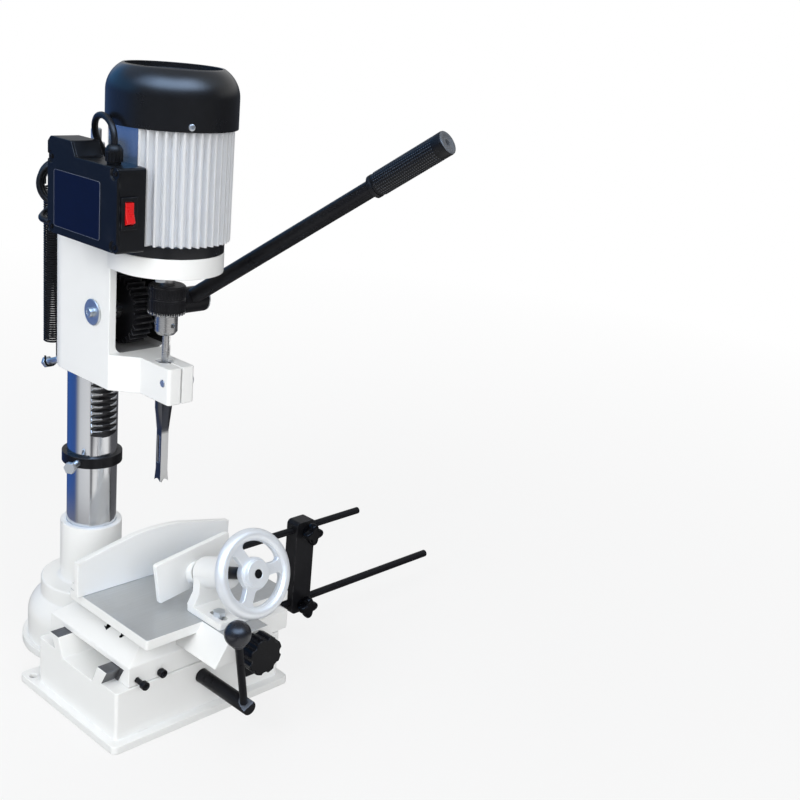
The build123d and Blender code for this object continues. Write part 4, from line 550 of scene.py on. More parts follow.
def plain_mesh(piece):
    """Turns a piece's modifiers into plain geometry."""
    bpy.context.view_layer.update()
    graph = bpy.context.evaluated_depsgraph_get()
    mesh = bpy.data.meshes.new_from_object(piece.evaluated_get(graph), depsgraph=graph)
    piece.modifiers.clear()
    piece.data = mesh
    return piece


def aimed(place, way):
    """The matrix that puts something made about Z at a place, with its Z along a way."""
    return Matrix.Translation(Vector(place)) @ Vector(way).to_track_quat("Z", "Y").to_matrix().to_4x4()


HOLE_SIDES = 28
# How far past a hole's wall and floor, how far in from them and how far above its mouth
# its faces may lie, as shares of its radius and depth.
HOLE_PAST, HOLE_WITHIN, HOLE_ABOVE = 1.02, 0.9, 0.2


def lies_in(point, mouth, way, radius, depth):
    """Whether a point is on the wall or the floor of a round hole."""
    along = (point - mouth).dot(way.normalized())
    across = (point - mouth - way.normalized() * along).length
    inside = across < HOLE_PAST * radius and -HOLE_PAST * depth < along < HOLE_ABOVE * radius
    return inside and (across > HOLE_WITHIN * radius or along < -HOLE_WITHIN * depth)


def drilled(work, holes):
    """Cuts round holes into a mesh, each given by its mouth, the way out of it, a radius and a depth."""
    body = bpy.data.meshes.new("drilled")
    work.to_mesh(body)
    work.free()
    bits = bmesh.new()
    for mouth, way, radius, depth in holes:
        bmesh.ops.create_cone(
            bits, cap_ends=True, segments=HOLE_SIDES, radius1=radius, radius2=radius, depth=2 * depth,
            matrix=aimed(mouth, way))
    cutter = bpy.data.meshes.new("bits")
    bits.to_mesh(cutter)
    bits.free()
    tool, blank = add_object("bits", cutter), add_object("blank", body)
    cut = blank.modifiers.new("cut", "BOOLEAN")
    cut.operation, cut.solver, cut.object = "DIFFERENCE", "EXACT", tool
    plain_mesh(blank)
    done = bmesh.new()
    done.from_mesh(blank.data)
    for face in done.faces:
        # The walls and floors of the holes take the second finish, which is painted shade here.
        face.material_index = int(any(lies_in(face.calc_center_median(), *hole) for hole in holes))
    for spare in (tool, blank):
        bpy.data.objects.remove(spare)
    return done


# Vertices nearer than this are one, and faces that bend less than this are one.
WELD = 0.00002
FLAT = math.radians(0.4)
# Edges are rounded from this angle on, unless another such edge leaves their end at less than a wedge.
ROUND_FROM = math.radians(34.0)
WEDGE = math.radians(35.0)
# How many roundings wide the faces beside an edge have to be, and how many of them a vertex may stray.
ROOM, STRAY = 2.2, 0.6
# Edges past this angle stay crisp, on dressed solids and on pieces made here.
DRESSED_CRISP, MADE_CRISP = math.radians(40.0), math.radians(38.0)
# Finer and softer edges, against the machined one.
FINE, MOULDED_EDGE, SOFT, HAND_HELD = 0.6, 1.5, 2.0, 2.5


def face_width(edge, face):
    """How far a face reaches from one of its edges."""
    start = edge.verts[0].co
    along = (edge.verts[1].co - start).normalized()
    across = face.normal.cross(along)
    return max(abs((vert.co - start).dot(across)) for vert in face.verts)


def in_a_wedge(edge, others):
    """Whether another of the edges leaves this one's end at a narrow angle."""
    for vert in edge.verts:
        way = edge.other_vert(vert).co - vert.co
        for other in vert.link_edges:
            if other is not edge and other in others:
                if way.angle(other.other_vert(vert).co - vert.co, 0.0) < WEDGE:
                    return True
    return False


def round_edges(work, skin, round_off, steps):
    """Rounds the sharp edges that have room for it, and marks the new faces."""
    mark = work.faces.layers.float.new("edge")
    sharp = [
        e for e in work.edges
        if len(e.link_faces) == 2 and e.calc_face_angle() > ROUND_FROM
        and min(face_width(e, face) for face in e.link_faces) > ROOM * round_off]
    among = set(sharp)
    made = bmesh.ops.bevel(
        work, geom=[e for e in sharp if not in_a_wedge(e, among)], offset=round_off, offset_type="OFFSET",
        segments=steps, profile=0.5, affect="EDGES", clamp_overlap=False, loop_slide=False, material=-1)
    for face in made["faces"]:
        face[mark] = 1.0
    for vert in work.verts:
        place, _, _, gap = skin.find_nearest(vert.co)
        if gap > STRAY * round_off:
            vert.co = place


def smooth_mesh(name, work, crisp):
    """The mesh of finished work, shaded smooth up to an angle."""
    for face in work.faces:
        face.smooth = True
    mesh = bpy.data.meshes.new(name)
    work.to_mesh(mesh)
    work.free()
    mesh.set_sharp_from_angle(angle=crisp)
    return mesh


def rounded_copy(node, round_off, steps=2, choose=None, finishes=(), holes=()):
    """A welded copy of a solid with its sharp edges rounded off and its faces shaded smooth.

    choose gives the number of a face's finish from its middle and its normal.
    """
    work = bmesh.new()
    work.from_mesh(frame["nodes"][node].data)
    bmesh.ops.remove_doubles(work, verts=work.verts, dist=WELD)
    bmesh.ops.dissolve_degenerate(work, edges=work.edges, dist=WELD)
    if holes:
        work = drilled(work, holes)
    if choose:
        for face in work.faces:
            face.material_index = choose(face.calc_center_median(), face.normal)
    skin = BVHTree.FromBMesh(work)
    bmesh.ops.dissolve_limit(
        work, angle_limit=FLAT, verts=work.verts, edges=work.edges, delimit={"MATERIAL"})
    if round_off:
        round_edges(work, skin, round_off, steps)
    mesh = smooth_mesh(node + "_dressed", work, DRESSED_CRISP)
    materials = [FINISH[name] for name in finishes] or [finish_of(node)]
    piece = add_object(node + "_dressed", mesh, *materials)
    weight = piece.modifiers.new("weighted", "WEIGHTED_NORMAL")
    weight.keep_sharp = True
    return plain_mesh(piece)


def dress(node, round_off, **how):
    """Puts a rounded copy of a solid in its place."""
    return stand_in(rounded_copy(node, round_off, **how), node)


def dress_all(round_off, *nodes):
    """Dresses several solids alike."""
    for node in nodes:
        dress(node, round_off)


def full_turn(count):
    """As many angles as asked for, evenly round a turn."""
    return [2 * math.pi * k / count for k in range(count)]


def spoke(turn, radius=1.0, height=0.0):
    """The point at an angle, a radius and a height about Z."""
    return Vector((radius * math.cos(turn), radius * math.sin(turn), height))


def ring(radius, height, sides):
    """A circle about Z, or the single point that closes an end."""
    return [spoke(turn, radius, height) for turn in full_turn(sides if radius else 1)]


def loft(outlines, capped=False):
    """Vertices and faces that join closed outlines of as many points each; a single point closes an end."""
    verts, rows, faces = [], [], []
    for outline in outlines:
        rows.append(range(len(verts), len(verts) + len(outline)))
        verts.extend(outline)
    for low, high in zip(rows, rows[1:]):
        for k in range(max(len(low), len(high))):
            corners = (
                low[k % len(low)], low[(k + 1) % len(low)], high[(k + 1) % len(high)], high[k % len(high)])
            faces.append(tuple(dict.fromkeys(corners)))
    if capped:
        faces += [tuple(reversed(rows[0])), tuple(rows[-1])]
    return verts, faces


def sweep(points, radius, sides):
    """Vertices and faces of a round wire along points, with a frame that doesn't twist."""
    outlines = []
    side = (points[1] - points[0]).normalized().orthogonal().normalized()
    for i, point in enumerate(points):
        ahead = (points[min(i + 1, len(points) - 1)] - points[max(i - 1, 0)]).normalized()
        side = (side - ahead * side.dot(ahead)).normalized()
        other = ahead.cross(side)
        outlines.append([
            point + radius * (math.cos(turn) * side + math.sin(turn) * other) for turn in full_turn(sides)])
    return loft(outlines, capped=True)


def in_metres(profile):
    """A profile of (radius, height) pairs that is given in millimetres."""
    return [(MM * radius, MM * height) for radius, height in profile]


def lathe(profile, sides):
    """Vertices and faces of a profile of (radius, height) pairs turned about Z."""
    return loft([ring(radius, height, sides) for radius, height in profile])


def started(verts, faces):
    """Work on a new mesh: the mesh and its vertices."""
    work = bmesh.new()
    made = [work.verts.new(vert) for vert in verts]
    for face in faces:
        work.faces.new([made[i] for i in face])
    return work, made


def shaped(name, verts, faces, matrix=None, outward=True):
    """A smooth mesh, with its faces turned outwards unless they already are."""
    work, _ = started([matrix @ vert for vert in verts] if matrix else verts, faces)
    if outward:
        bmesh.ops.recalc_face_normals(work, faces=work.faces)
    return smooth_mesh(name, work, MADE_CRISP)


def repeat_tree():
    """The node tree that sets copies of one small mesh on points, each along its point's way."""
    tree = bpy.data.node_groups.new("repeat", "GeometryNodeTree")
    for name, kind in (
            ("Places", "Geometry"), ("Copy", "Object"), ("Size", "Float"), ("Finish", "Material")):
        tree.interface.new_socket(name, in_out="INPUT", socket_type="NodeSocket" + kind)
    tree.interface.new_socket("Copies", in_out="OUTPUT", socket_type="NodeSocketGeometry")
    n = Nodes(tree)
    places, copy, size, finish = n.outputs("NodeGroupInput", "Places", "Copy", "Size", "Finish")
    shape = n.node("GeometryNodeObjectInfo", None, {"Object": copy}, out="Geometry")
    way = n.node("GeometryNodeInputNamedAttribute", {"data_type": "FLOAT_VECTOR"}, {"Name": "way"})
    turn = n.node("FunctionNodeAlignRotationToVector", {"axis": "Z"}, {"Vector": way})
    copies = n.node(
        "GeometryNodeInstanceOnPoints", None,
        {"Points": places, "Instance": shape, "Rotation": turn, "Scale": size})
    whole = n.node("GeometryNodeRealizeInstances", None, {0: copies})
    dressed = n.node("GeometryNodeSetMaterial", None, {"Geometry": whole, "Material": finish})
    n.node("NodeGroupOutput", None, {0: dressed})
    return tree


def repeated(name, one, places, finish, size=1.0):
    """Copies of one mesh at (place, way) pairs, each as many times its size, as a plain mesh."""
    points = bpy.data.meshes.new(name)
    points.from_pydata([place for place, _ in places], [], [])
    ways = points.attributes.new("way", "FLOAT_VECTOR", "POINT")
    for item, (_, way) in zip(ways.data, places):
        item.vector = way
    source = add_object(name + "_one", one)
    piece = add_object(name, points)
    tree = bpy.data.node_groups.get("repeat") or repeat_tree()
    modifier = piece.modifiers.new("repeat", "NODES")
    modifier.node_group = tree
    given = {"Copy": source, "Size": size, "Finish": finish}
    for socket in tree.interface.items_tree:
        if socket.name in given:
            modifier[socket.identifier] = given[socket.name]
    plain_mesh(piece)
    bpy.data.objects.remove(source)
    return piece


class MORTISER_OT_finishes(bpy.types.Operator):
    """Make the finishes and give every solid its own"""

    bl_idname = "mortiser.finishes"
    bl_label = "Finishes"

    def execute(self, context):
        colours = context.scene.mortiser_colours
        FINISH.update({name: moulded_black(name, *look) for name, look in MOULDED.items()})
        FINISH.update(
            cream_paint=casting_paint(tuple(colours.paint)),
            black_paint=black_enamel(tuple(colours.black)),
            # Painted shade: black inside the head's window, its bore and the small holes, grey on the
            # window's floor.
            dark_primer=dull_primer("dark_primer", 0.006, 0.018),
            grey_primer=dull_primer("grey_primer", 0.16, 0.24),
            silver_paint=silver_hammer(),
            polished_steel=polished_steel(),
            rack_steel=rack_steel(),
            tool_steel=tool_steel(),
            bright_steel=bright_steel(),
            black_oxide=black_oxide("black_oxide", 0.1, 0.12),
            dull_oxide=black_oxide("dull_oxide", 0.0, 0.03),
            zinc=zinc_plate(),
            ground_iron=ground_iron(
                "ground_iron", (0.45, 0.455, 0.45), (0.61, 0.615, 0.61), (0.36, 0.355, 0.345)),
            # Bare machined iron, much darker than the table's ground iron: painted shade on the ways, the
            # gib and the shaft's flat.
            way_iron=ground_iron(
                "way_iron", (0.10, 0.10, 0.105), (0.19, 0.19, 0.195), (0.07, 0.068, 0.066)),
            bare_aluminium=bare_aluminium(),
            bright_aluminium=bright_aluminium(),
            ground_flank=ground_flank(),
            laminations=stacked_laminations(),
            red_plastic=red_rocker(tuple(colours.rocker)),
            brass=brass_pins(),
            box_plate=blank_plate("box_plate", tuple(colours.plate)),
            # The lid plate's rim is a paler blue all round: a painted highlight.
            plate_rim=blank_plate("plate_rim", (0.12, 0.135, 0.18)),
            base_plate=blank_plate("base_plate", (0.006, 0.006, 0.007)),
        )
        for node, solid in frame["nodes"].items():
            for place in solid.material_slots:
                place.material = finish_of(node)
        return {"FINISHED"}


# The mains lead in millimetres: from its gland to the hank, and from the hank to the plug.
LEAD_POINTS = (
    (-80.0, -157.0, 647.5), (-80.0, -157.0, 661.0), (-78.0, -140.0, 673.0), (-74.0, -117.0, 672.0),
    (-66.0, -98.0, 659.0), (-53.0, -84.0, 640.0),
)
TAIL_POINTS = (
    (-70.6, -5.8, 550.0), (-82.4, -20.2, 547.0), (-74.1, -37.0, 545.4), (-57.3, -47.9, 544.8),
    (-46.0, -57.0, 544.8), (-34.0, -57.0, 544.8),
)
HANK_MIDDLE = Vector((-43.5, -36.4, 586.0))
HANK_TURN = math.radians(-37.2)
# Where the lead comes onto the hank: along it, to its side and up.
HANK_START = (37.0, -16.0, 26.0)
# From one loop to the next.
HANK_STEP = 8.6
# Half of a loop's straight run, the radius of its bends and the angle of its first point.
LOOP_RUN, LOOP_BEND, LOOP_FIRST = 20.5, 22.6, 52.5
# Points of a whole loop, and of the last one, which the tail leaves.
LOOP_POINTS, LAST_POINTS = 12, 6
# The share of a loop after which it climbs to the next one, and the share that the climb takes.
CLIMB_AFTER, CLIMB_SHARE = 0.30, 0.45
# Each loop's size against the first, and how far it has shifted up.
LOOP_FIT = ((1.0, 0.0), (0.97, -1.0), (1.02, 0.6), (0.98, -0.5))


def on_hank(along, side, up):
    """The point of the hank that lies along it, to its side and up from its middle."""
    ahead = Vector((math.cos(HANK_TURN), math.sin(HANK_TURN), 0.0))
    across = Vector((-math.sin(HANK_TURN), math.cos(HANK_TURN), 0.0))
    return tuple(HANK_MIDDLE + ahead * along + across * side + Vector((0.0, 0.0, up)))


def hank_points():
    """Points of the hank's loops: oblong turns that climb to the next on their underside."""
    points = [on_hank(*HANK_START)]
    last = len(LOOP_FIT) - 1
    for loop, (size, slip) in enumerate(LOOP_FIT):
        first = (loop - last / 2) * HANK_STEP
        for k in range(0 if loop else 1, LOOP_POINTS if loop < last else LAST_POINTS):
            turn = math.radians(LOOP_FIRST - k * 360.0 / LOOP_POINTS)
            swing, rise = math.cos(turn), math.sin(turn)
            climbed = max(0.0, min(1.0, (k / LOOP_POINTS - CLIMB_AFTER) / CLIMB_SHARE))
            along = math.copysign(LOOP_RUN, swing) + LOOP_BEND * swing
            points.append(on_hank(along * size, first + HANK_STEP * climbed, LOOP_BEND * rise * size + slip))
    return points


class MORTISER_OT_mains_lead(bpy.types.Operator):
    """Lay the mains lead from its gland through the hank to the plug"""

    bl_idname = "mortiser.mains_lead"
    bl_label = "Mains lead"

    def execute(self, context):
        sizes = context.scene.mortiser_sizes
        route = [*LEAD_POINTS, *hank_points(), *TAIL_POINTS]
        curve = bpy.data.curves.new("mains_lead", "CURVE")
        curve.dimensions = "3D"
        curve.bevel_depth = sizes.cord_diameter / 2
        curve.bevel_resolution = 4
        curve.resolution_u = 8
        curve.use_fill_caps = True
        spline = curve.splines.new("NURBS")
        spline.points.add(len(route) - 1)
        for point, place in zip(spline.points, route):
            point.co = (*(MM * value for value in place), 1.0)
        spline.order_u = 3
        spline.use_endpoint_u = True
        lead = add_object("mains_lead", curve, FINISH["cord_rubber"])
        settle(lead, "head", RECORD_SLOT["power_cord"], "power_cord", "cord_hank")
        plug = dress("plug_body", sizes.machined_round * SOFT, steps=3)
        pins = dress("plug_pins", sizes.machined_round)
        return {"FINISHED"}


# The spring in millimetres: how high its coil and each hook reach, where each hook's free end stops,
# and the radius of a hook's bends with the angle from one of its points to the next.
SPRING_Y = 95.0
COIL_TOP, COIL_LOW = 560.0, 368.0
HOOK_TOP, HOOK_LOW = 578.0, 335.58
HOOK_TIP_TOP, HOOK_TIP_LOW = 563.8, 349.8
HOOK_BEND, HOOK_DEGREES = 7.3, 15
# Points of straight wire between the coil and a hook, by their distance from the coil.
HOOK_LEAD = (3.2, 6.0)
# Points in one turn, points left out where the coil runs into the straight wire, and the wire's sides.
TURN_STEPS, COIL_SKIP, WIRE_SIDES = 20, 3, 8


def spring_hook(reach, crown, tip, inward):
    """Points of a hook from the coil over its crown to its free tip; inward is -1 at the top end."""
    bow = [
        (reach - HOOK_BEND * (1.0 - math.cos(turn)), crown + inward * HOOK_BEND * (1.0 - math.sin(turn)))
        for turn in (math.radians(degrees) for degrees in range(0, 91, HOOK_DEGREES))]
    bow += [(-x, z) for x, z in reversed(bow)]
    bow.append((-reach, tip))
    return [MM * Vector((x, SPRING_Y, z)) for x, z in bow]


class MORTISER_OT_return_spring(bpy.types.Operator):
    """Wind the return spring between its arm and its bolt"""

    bl_idname = "mortiser.return_spring"
    bl_label = "Return spring"

    def execute(self, context):
        sizes = context.scene.mortiser_sizes
        reach = sizes.spring_radius / MM
        count = sizes.spring_turns * TURN_STEPS
        middle = Vector((0.0, SPRING_Y, 0.0))
        coil = []
        for step in range(COIL_SKIP, count + 1 - COIL_SKIP):
            height = COIL_TOP - (COIL_TOP - COIL_LOW) * step / count
            coil.append(MM * (middle + spoke(2 * math.pi * step / TURN_STEPS, reach, height)))
        top = spring_hook(reach, HOOK_TOP, HOOK_TIP_TOP, -1.0)
        low = spring_hook(reach, HOOK_LOW, HOOK_TIP_LOW, 1.0)
        lead_in = [MM * Vector((reach, SPRING_Y, COIL_TOP + away)) for away in reversed(HOOK_LEAD)]
        lead_out = [MM * Vector((reach, SPRING_Y, COIL_LOW - away)) for away in HOOK_LEAD]
        wire = [*reversed(top), *lead_in, *coil, *lead_out, *low]
        mesh = shaped("return_spring_wound", *sweep(wire, sizes.spring_wire, WIRE_SIDES))
        spring = add_object("return_spring_wound", mesh, FINISH["black_oxide"])
        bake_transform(spring)
        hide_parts("return_spring")
        return {"FINISHED"}


# How much of a normal points up or down on a level face, a floor and an undercut flank,
# and along a way on a face that is square to it.
LEVEL, FLOOR_LIKE, UNDERCUT, SQUARE = 0.9, 0.5, -0.4, 0.99
# Limits of the machined faces and of the faces with painted shade, in metres.
WAY_FRONT, WAY_BACK, WAY_LOW, WAY_HALF = -0.2150, -0.0983, 0.0690, 0.1170
WINDOW_HALF, WINDOW_FRONT, WINDOW_BACK = 0.0405, -0.0940, -0.005
WINDOW_LOW, WINDOW_HIGH = 0.3650, 0.5320
HEAD_BORE = 0.0325
APRON_TOP = 0.1165
COLUMN_ROUND = 0.0297


def base_face(middle, normal):
    """The slideways are bare machined iron on top and on their undercut flanks, darkened as painted shade;
    the rest is painted.
    """
    on_way = WAY_FRONT < middle.y < WAY_BACK and middle.z > WAY_LOW and abs(middle.x) < WAY_HALF
    return 1 if on_way and (normal.z > LEVEL or normal.z < UNDERCUT) else 0


def head_face(middle, normal):
    """The window and the bore are dark inside as painted shade, and their floors a grey painted shade."""
    inside = abs(middle.x) < WINDOW_HALF and WINDOW_FRONT < middle.y < WINDOW_BACK
    inside = inside and WINDOW_LOW < middle.z < WINDOW_HIGH
    inside = inside or math.hypot(middle.x, middle.y) < HEAD_BORE
    return (2 if normal.z > FLOOR_LIKE else 1) if inside else 0


def table_face(middle, normal):
    """Ground on top, on the apron's strip and underneath, painted round the edges."""
    return 0 if normal.z < -LEVEL or (normal.z > LEVEL and middle.z > APRON_TOP) else 1


def column_face(middle, normal):
    """The rack is cut into the round bar."""
    return 1 if math.hypot(middle.x, middle.y) < COLUMN_ROUND and abs(normal.z) < SQUARE else 0


# Small holes: the mouth, the way out of it, the radius and the depth.
SLOPE_WAY = Vector((-0.5, 0.0, 0.87))
SADDLE_HOLES = (
    (MM * Vector((-75.9, -156.8, 106.4)), SLOPE_WAY, 3.0 * MM, 7.0 * MM),
    (MM * Vector((-77.9, -183.9, 105.2)), SLOPE_WAY, 2.0 * MM, 7.0 * MM),
)
# The set screw hole in the side of the clamp plate's boss.
BOSS_HOLES = ((MM * Vector((27.5, -204.4, 168.5)), Vector((0.92, -0.25, 0.30)), 1.9 * MM, 7.0 * MM),)


class MORTISER_OT_castings(bpy.types.Operator):
    """Round and paint the castings"""

    bl_idname = "mortiser.castings"
    bl_label = "Castings"

    def execute(self, context):
        sizes = context.scene.mortiser_sizes
        casting = sizes.casting_round
        dress("base_casting", casting, choose=base_face, finishes=("cream_paint", "way_iron"))
        # The head's window and bore get painted shade inside.
        dress(
            "head_casting", casting, choose=head_face,
            finishes=("cream_paint", "dark_primer", "grey_primer"))
        dress(
            "table", sizes.machined_round * SOFT, choose=table_face,
            finishes=("ground_iron", "cream_paint"))
        # The walls of the small holes are painted shade.
        dress("saddle", casting, holes=SADDLE_HOLES, finishes=("cream_paint", "dark_primer"))
        dress("clamp_plate", casting, holes=BOSS_HOLES, finishes=("cream_paint", "dark_primer"))
        dress_all(casting, "fence", "clamp_bracket", "spring_arm")
        return {"FINISHED"}


# The bare plates in millimetres: where their middles are, and width, height, corner and rim.
LID_PLATE_Y, LID_PLATE_Z = -111.3, 580.0
LID_PLATE = (86.5, 60.0, 3.0, 0.4)
BASE_PLATE_X, BASE_PLATE_Z = 80.0, 39.0
BASE_PLATE = (50.0, 30.0, 2.0, 0.6)
# From a plate's foot over its rim to its face: inset in rims, and height in thicknesses.
PLATE_SECTION = ((0.0, 0.0), (0.0, 0.8), (0.12, 1.0), (1.0, 1.0), (1.2, 0.7))
CORNER_STEPS = 6


def skin_of(node):
    """A solid's faces, ready to be met by a ray."""
    mesh = frame["nodes"][node].data
    return BVHTree.FromPolygons(
        [vert.co for vert in mesh.vertices], [tuple(face.vertices) for face in mesh.polygons])


def blank_plate_mesh(name, middle, across, size, thick):
    """A thin upright plate with round corners, a narrow raised rim and nothing on it."""
    width, height, corner, rim = (MM * value for value in size)
    out = across.cross(Z)
    outlines = []
    for inset, rise in PLATE_SECTION:
        outline = []
        for quarter, (side_x, side_y) in enumerate(((1, 1), (-1, 1), (-1, -1), (1, -1))):
            for step in range(CORNER_STEPS + 1):
                bend = spoke(math.radians(90.0 * quarter + 90.0 * step / CORNER_STEPS), corner - inset * rim)
                x = side_x * (width / 2 - corner) + bend.x
                y = side_y * (height / 2 - corner) + bend.y
                outline.append(middle + across * x + Z * y + out * rise * thick)
        outlines.append(outline)
    mesh = shaped(name, *loft(outlines, capped=True))
    for face in mesh.polygons:
        # The rim's quads take the second finish: a painted highlight on the lid plate.
        face.material_index = 0 if len(face.vertices) > 4 else 1
    return mesh


class MORTISER_OT_blank_plates(bpy.types.Operator):
    """Fix the bare plates to the switch box and the base"""

    bl_idname = "mortiser.blank_plates"
    bl_label = "Blank plates"

    def execute(self, context):
        thick = context.scene.mortiser_sizes.plate_thickness
        on_lid = Vector((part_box("box_lid")[0][0], MM * LID_PLATE_Y, MM * LID_PLATE_Z))
        mesh = blank_plate_mesh("lid_plate", on_lid, -Y, LID_PLATE, thick)
        piece = add_object("lid_plate", mesh, FINISH["box_plate"], FINISH["plate_rim"])
        settle(piece, "head", RECORD_SLOT["box_lid"])
        before = Vector((MM * BASE_PLATE_X, cad_box[0][1], MM * BASE_PLATE_Z))
        on_base = skin_of("base_casting").ray_cast(before, Y)[0]
        mesh = blank_plate_mesh("base_plate", on_base, X, BASE_PLATE, thick)
        piece = add_object("base_plate", mesh, FINISH["base_plate"], FINISH["base_plate"])
        settle(piece, "base", RECORD_SLOT["fan_cover"])
        return {"FINISHED"}


class MORTISER_OT_column(bpy.types.Operator):
    """Polish the column, its collar and what stands on it"""

    bl_idname = "mortiser.column"
    bl_label = "Column"

    def execute(self, context):
        sizes = context.scene.mortiser_sizes
        dress("column", 0.0, choose=column_face, finishes=("polished_steel", "rack_steel"))
        dress_all(
            sizes.machined_round, "column_cap", "spring_stud", "hex_nuts", "depth_collar", "collar_bolt")
        return {"FINISHED"}


# The motor's axis and its cover screws, and the lid's screws, in millimetres.
MOTOR_Y = -142.7
COVER_SCREW_Z = 670.0
COVER_RADIUS = 69.2
COVER_SCREW_ANGLES = (10.0, 130.0, 250.0)
LID_SCREW_X = -92.2
LID_SCREW_Y = (-178.5, -60.4)
LID_SCREW_Z = (547.5, 621.5)
# Radius and height of their heads.
COVER_HEAD = (3.6, 2.0)
LID_HEAD = (2.6, 1.6)
HEAD_SIDES = 24
# The flat beside the motor's ribs faces -X by this much, and lies past this.
FLAT_FACING, FLAT_X = 0.97, -0.030


def cross_head(radius, thick):
    """A pan head with a crossed recess, standing on its seat, from sizes in millimetres."""
    radius, thick = MM * radius, MM * thick
    arm, half, depth, taper = 0.56 * radius, 0.13 * radius, 0.55 * thick, 0.86
    profile = ((radius, 0.0), (radius, 0.45 * thick), (0.92 * radius, 0.82 * thick), (0.72 * radius, thick))
    cross = [
        Matrix.Rotation(math.pi / 2 * quarter, 3, "Z") @ Vector((x, y, 0.0))
        for quarter in range(4) for x, y in ((arm, -half), (arm, half), (half, half))]
    work, made = started(*lathe(profile, HEAD_SIDES))
    mouth = [work.verts.new(point + thick * Z) for point in cross]
    floor = [work.verts.new(point * taper + (thick - depth) * Z) for point in cross]
    count = len(cross)
    for k in range(count):
        work.faces.new((mouth[k], floor[k], floor[(k + 1) % count], mouth[(k + 1) % count]))
    work.faces.new(floor)
    work.faces.new(list(reversed(made[:HEAD_SIDES])))
    bounds = [
        work.edges.get((loop[k], loop[(k + 1) % len(loop)]))
        for loop in (made[-HEAD_SIDES:], mouth) for k in range(len(loop))]
    bmesh.ops.triangle_fill(work, use_beauty=True, edges=bounds, normal=Z)
    bmesh.ops.recalc_face_normals(work, faces=work.faces)
    return smooth_mesh("cross_head", work, MADE_CRISP)


def cover_screws():
    """Places and ways of the screws round the fan cover."""
    for angle in COVER_SCREW_ANGLES:
        way = spoke(math.radians(angle))
        yield MM * (Vector((0.0, MOTOR_Y, COVER_SCREW_Z)) + way * COVER_RADIUS), way


def lid_screws():
    """Places and ways of the screws in the lid's corners."""
    for y in LID_SCREW_Y:
        for z in LID_SCREW_Z:
            yield MM * Vector((LID_SCREW_X, y, z)), -X


def housing_face(middle, normal):
    """The flat that the switch box is bolted to is smooth."""
    return 1 if normal.x < -FLAT_FACING and middle.x < FLAT_X else 0


class MORTISER_OT_motor(bpy.types.Operator):
    """Dress the motor, its ribs and its fan cover"""

    bl_idname = "mortiser.motor"
    bl_label = "Motor"

    def execute(self, context):
        machined = context.scene.mortiser_sizes.machined_round
        dress(
            "motor_housing", machined, choose=housing_face, finishes=("bare_aluminium", "bright_aluminium"))
        dress("motor_end_shield", machined * SOFT)
        dress_all(machined, "fan_cover", "head_bolts", "spring_bolt", "cooling_fan")
        return {"FINISHED"}


class MORTISER_OT_pan_screws(bpy.types.Operator):
    """Set the cross headed screws of the fan cover and the box lid"""

    bl_idname = "mortiser.pan_screws"
    bl_label = "Pan screws"

    def execute(self, context):
        cover = repeated("cover_screws", cross_head(*COVER_HEAD), list(cover_screws()), FINISH["zinc"])
        stand_in(cover, "pan_screws")
        lid = repeated("lid_screws", cross_head(*LID_HEAD), list(lid_screws()), FINISH["black_oxide"])
        settle(lid, "head", RECORD_SLOT["pan_screws"])
        return {"FINISHED"}


class MORTISER_OT_switch_box(bpy.types.Operator):
    """Dress the switch box with its lid, bezel, rocker and gland"""

    bl_idname = "mortiser.switch_box"
    bl_label = "Switch box"

    def execute(self, context):
        sizes = context.scene.mortiser_sizes
        dress_all(
            sizes.machined_round * MOULDED_EDGE,
            "switch_box", "box_lid", "switch_bezel", "cord_gland", "rocker_switch")
        return {"FINISHED"}


# Where the chuck's bare teeth end and where its black body begins, in metres.
CHUCK_TEETH_TOP, CHUCK_NOSE_TOP = 0.4642, 0.470
# How much a ground flank of the chisel faces along Y.
FLANK_FACING = 0.7
# Grip ridges in two bands round the chuck's sleeve, in millimetres.
RIDGE_PROFILE = ((0.0, -4.6), (0.45, -4.5), (0.75, -4.0), (0.75, 4.0), (0.45, 4.5), (0.0, 4.6))
RIDGE_COUNT, RIDGE_SIDES = 36, 8
RIDGE_LEVELS = (471.2, 484.8)
RIDGE_RADIUS = 20.15


def sleeve_face(middle, normal):
    """The teeth under the sleeve are bare, the rest is black."""
    return 1 if middle.z < CHUCK_TEETH_TOP else 0


def nose_face(middle, normal):
    """The chuck's body is black above its nose."""
    return 1 if middle.z > CHUCK_NOSE_TOP else 0


def chisel_face(middle, normal):
    """Two opposite flanks of the chisel are ground; the dark steel on the other two is painted shade."""
    return 1 if abs(normal.y) > FLANK_FACING else 0


class MORTISER_OT_spindle(bpy.types.Operator):
    """Dress the chuck, the drill and the hollow chisel"""

    bl_idname = "mortiser.spindle"
    bl_label = "Chuck and chisel"

    def execute(self, context):
        fine = context.scene.mortiser_sizes.machined_round * FINE
        dress("chuck_sleeve", fine, choose=sleeve_face, finishes=("black_oxide", "bright_steel"))
        dress("chuck_body", fine, choose=nose_face, finishes=("bright_steel", "black_oxide"))
        dress("auger_bit", fine)
        # The chisel's flanks along X stay dark as painted shade.
        dress("mortise_chisel", fine, choose=chisel_face, finishes=("tool_steel", "ground_flank"))
        ridge = shaped("ridge", *lathe(in_metres(RIDGE_PROFILE), RIDGE_SIDES))
        places = [
            (MM * (Vector((0.0, MOTOR_Y, level)) + spoke(turn, RIDGE_RADIUS)), Z)
            for turn in full_turn(RIDGE_COUNT) for level in RIDGE_LEVELS]
        ridges = repeated("sleeve_ridges", ridge, places, FINISH["black_oxide"])
        settle(ridges, "spindle", RECORD_SLOT["chuck_sleeve"])
        return {"FINISHED"}


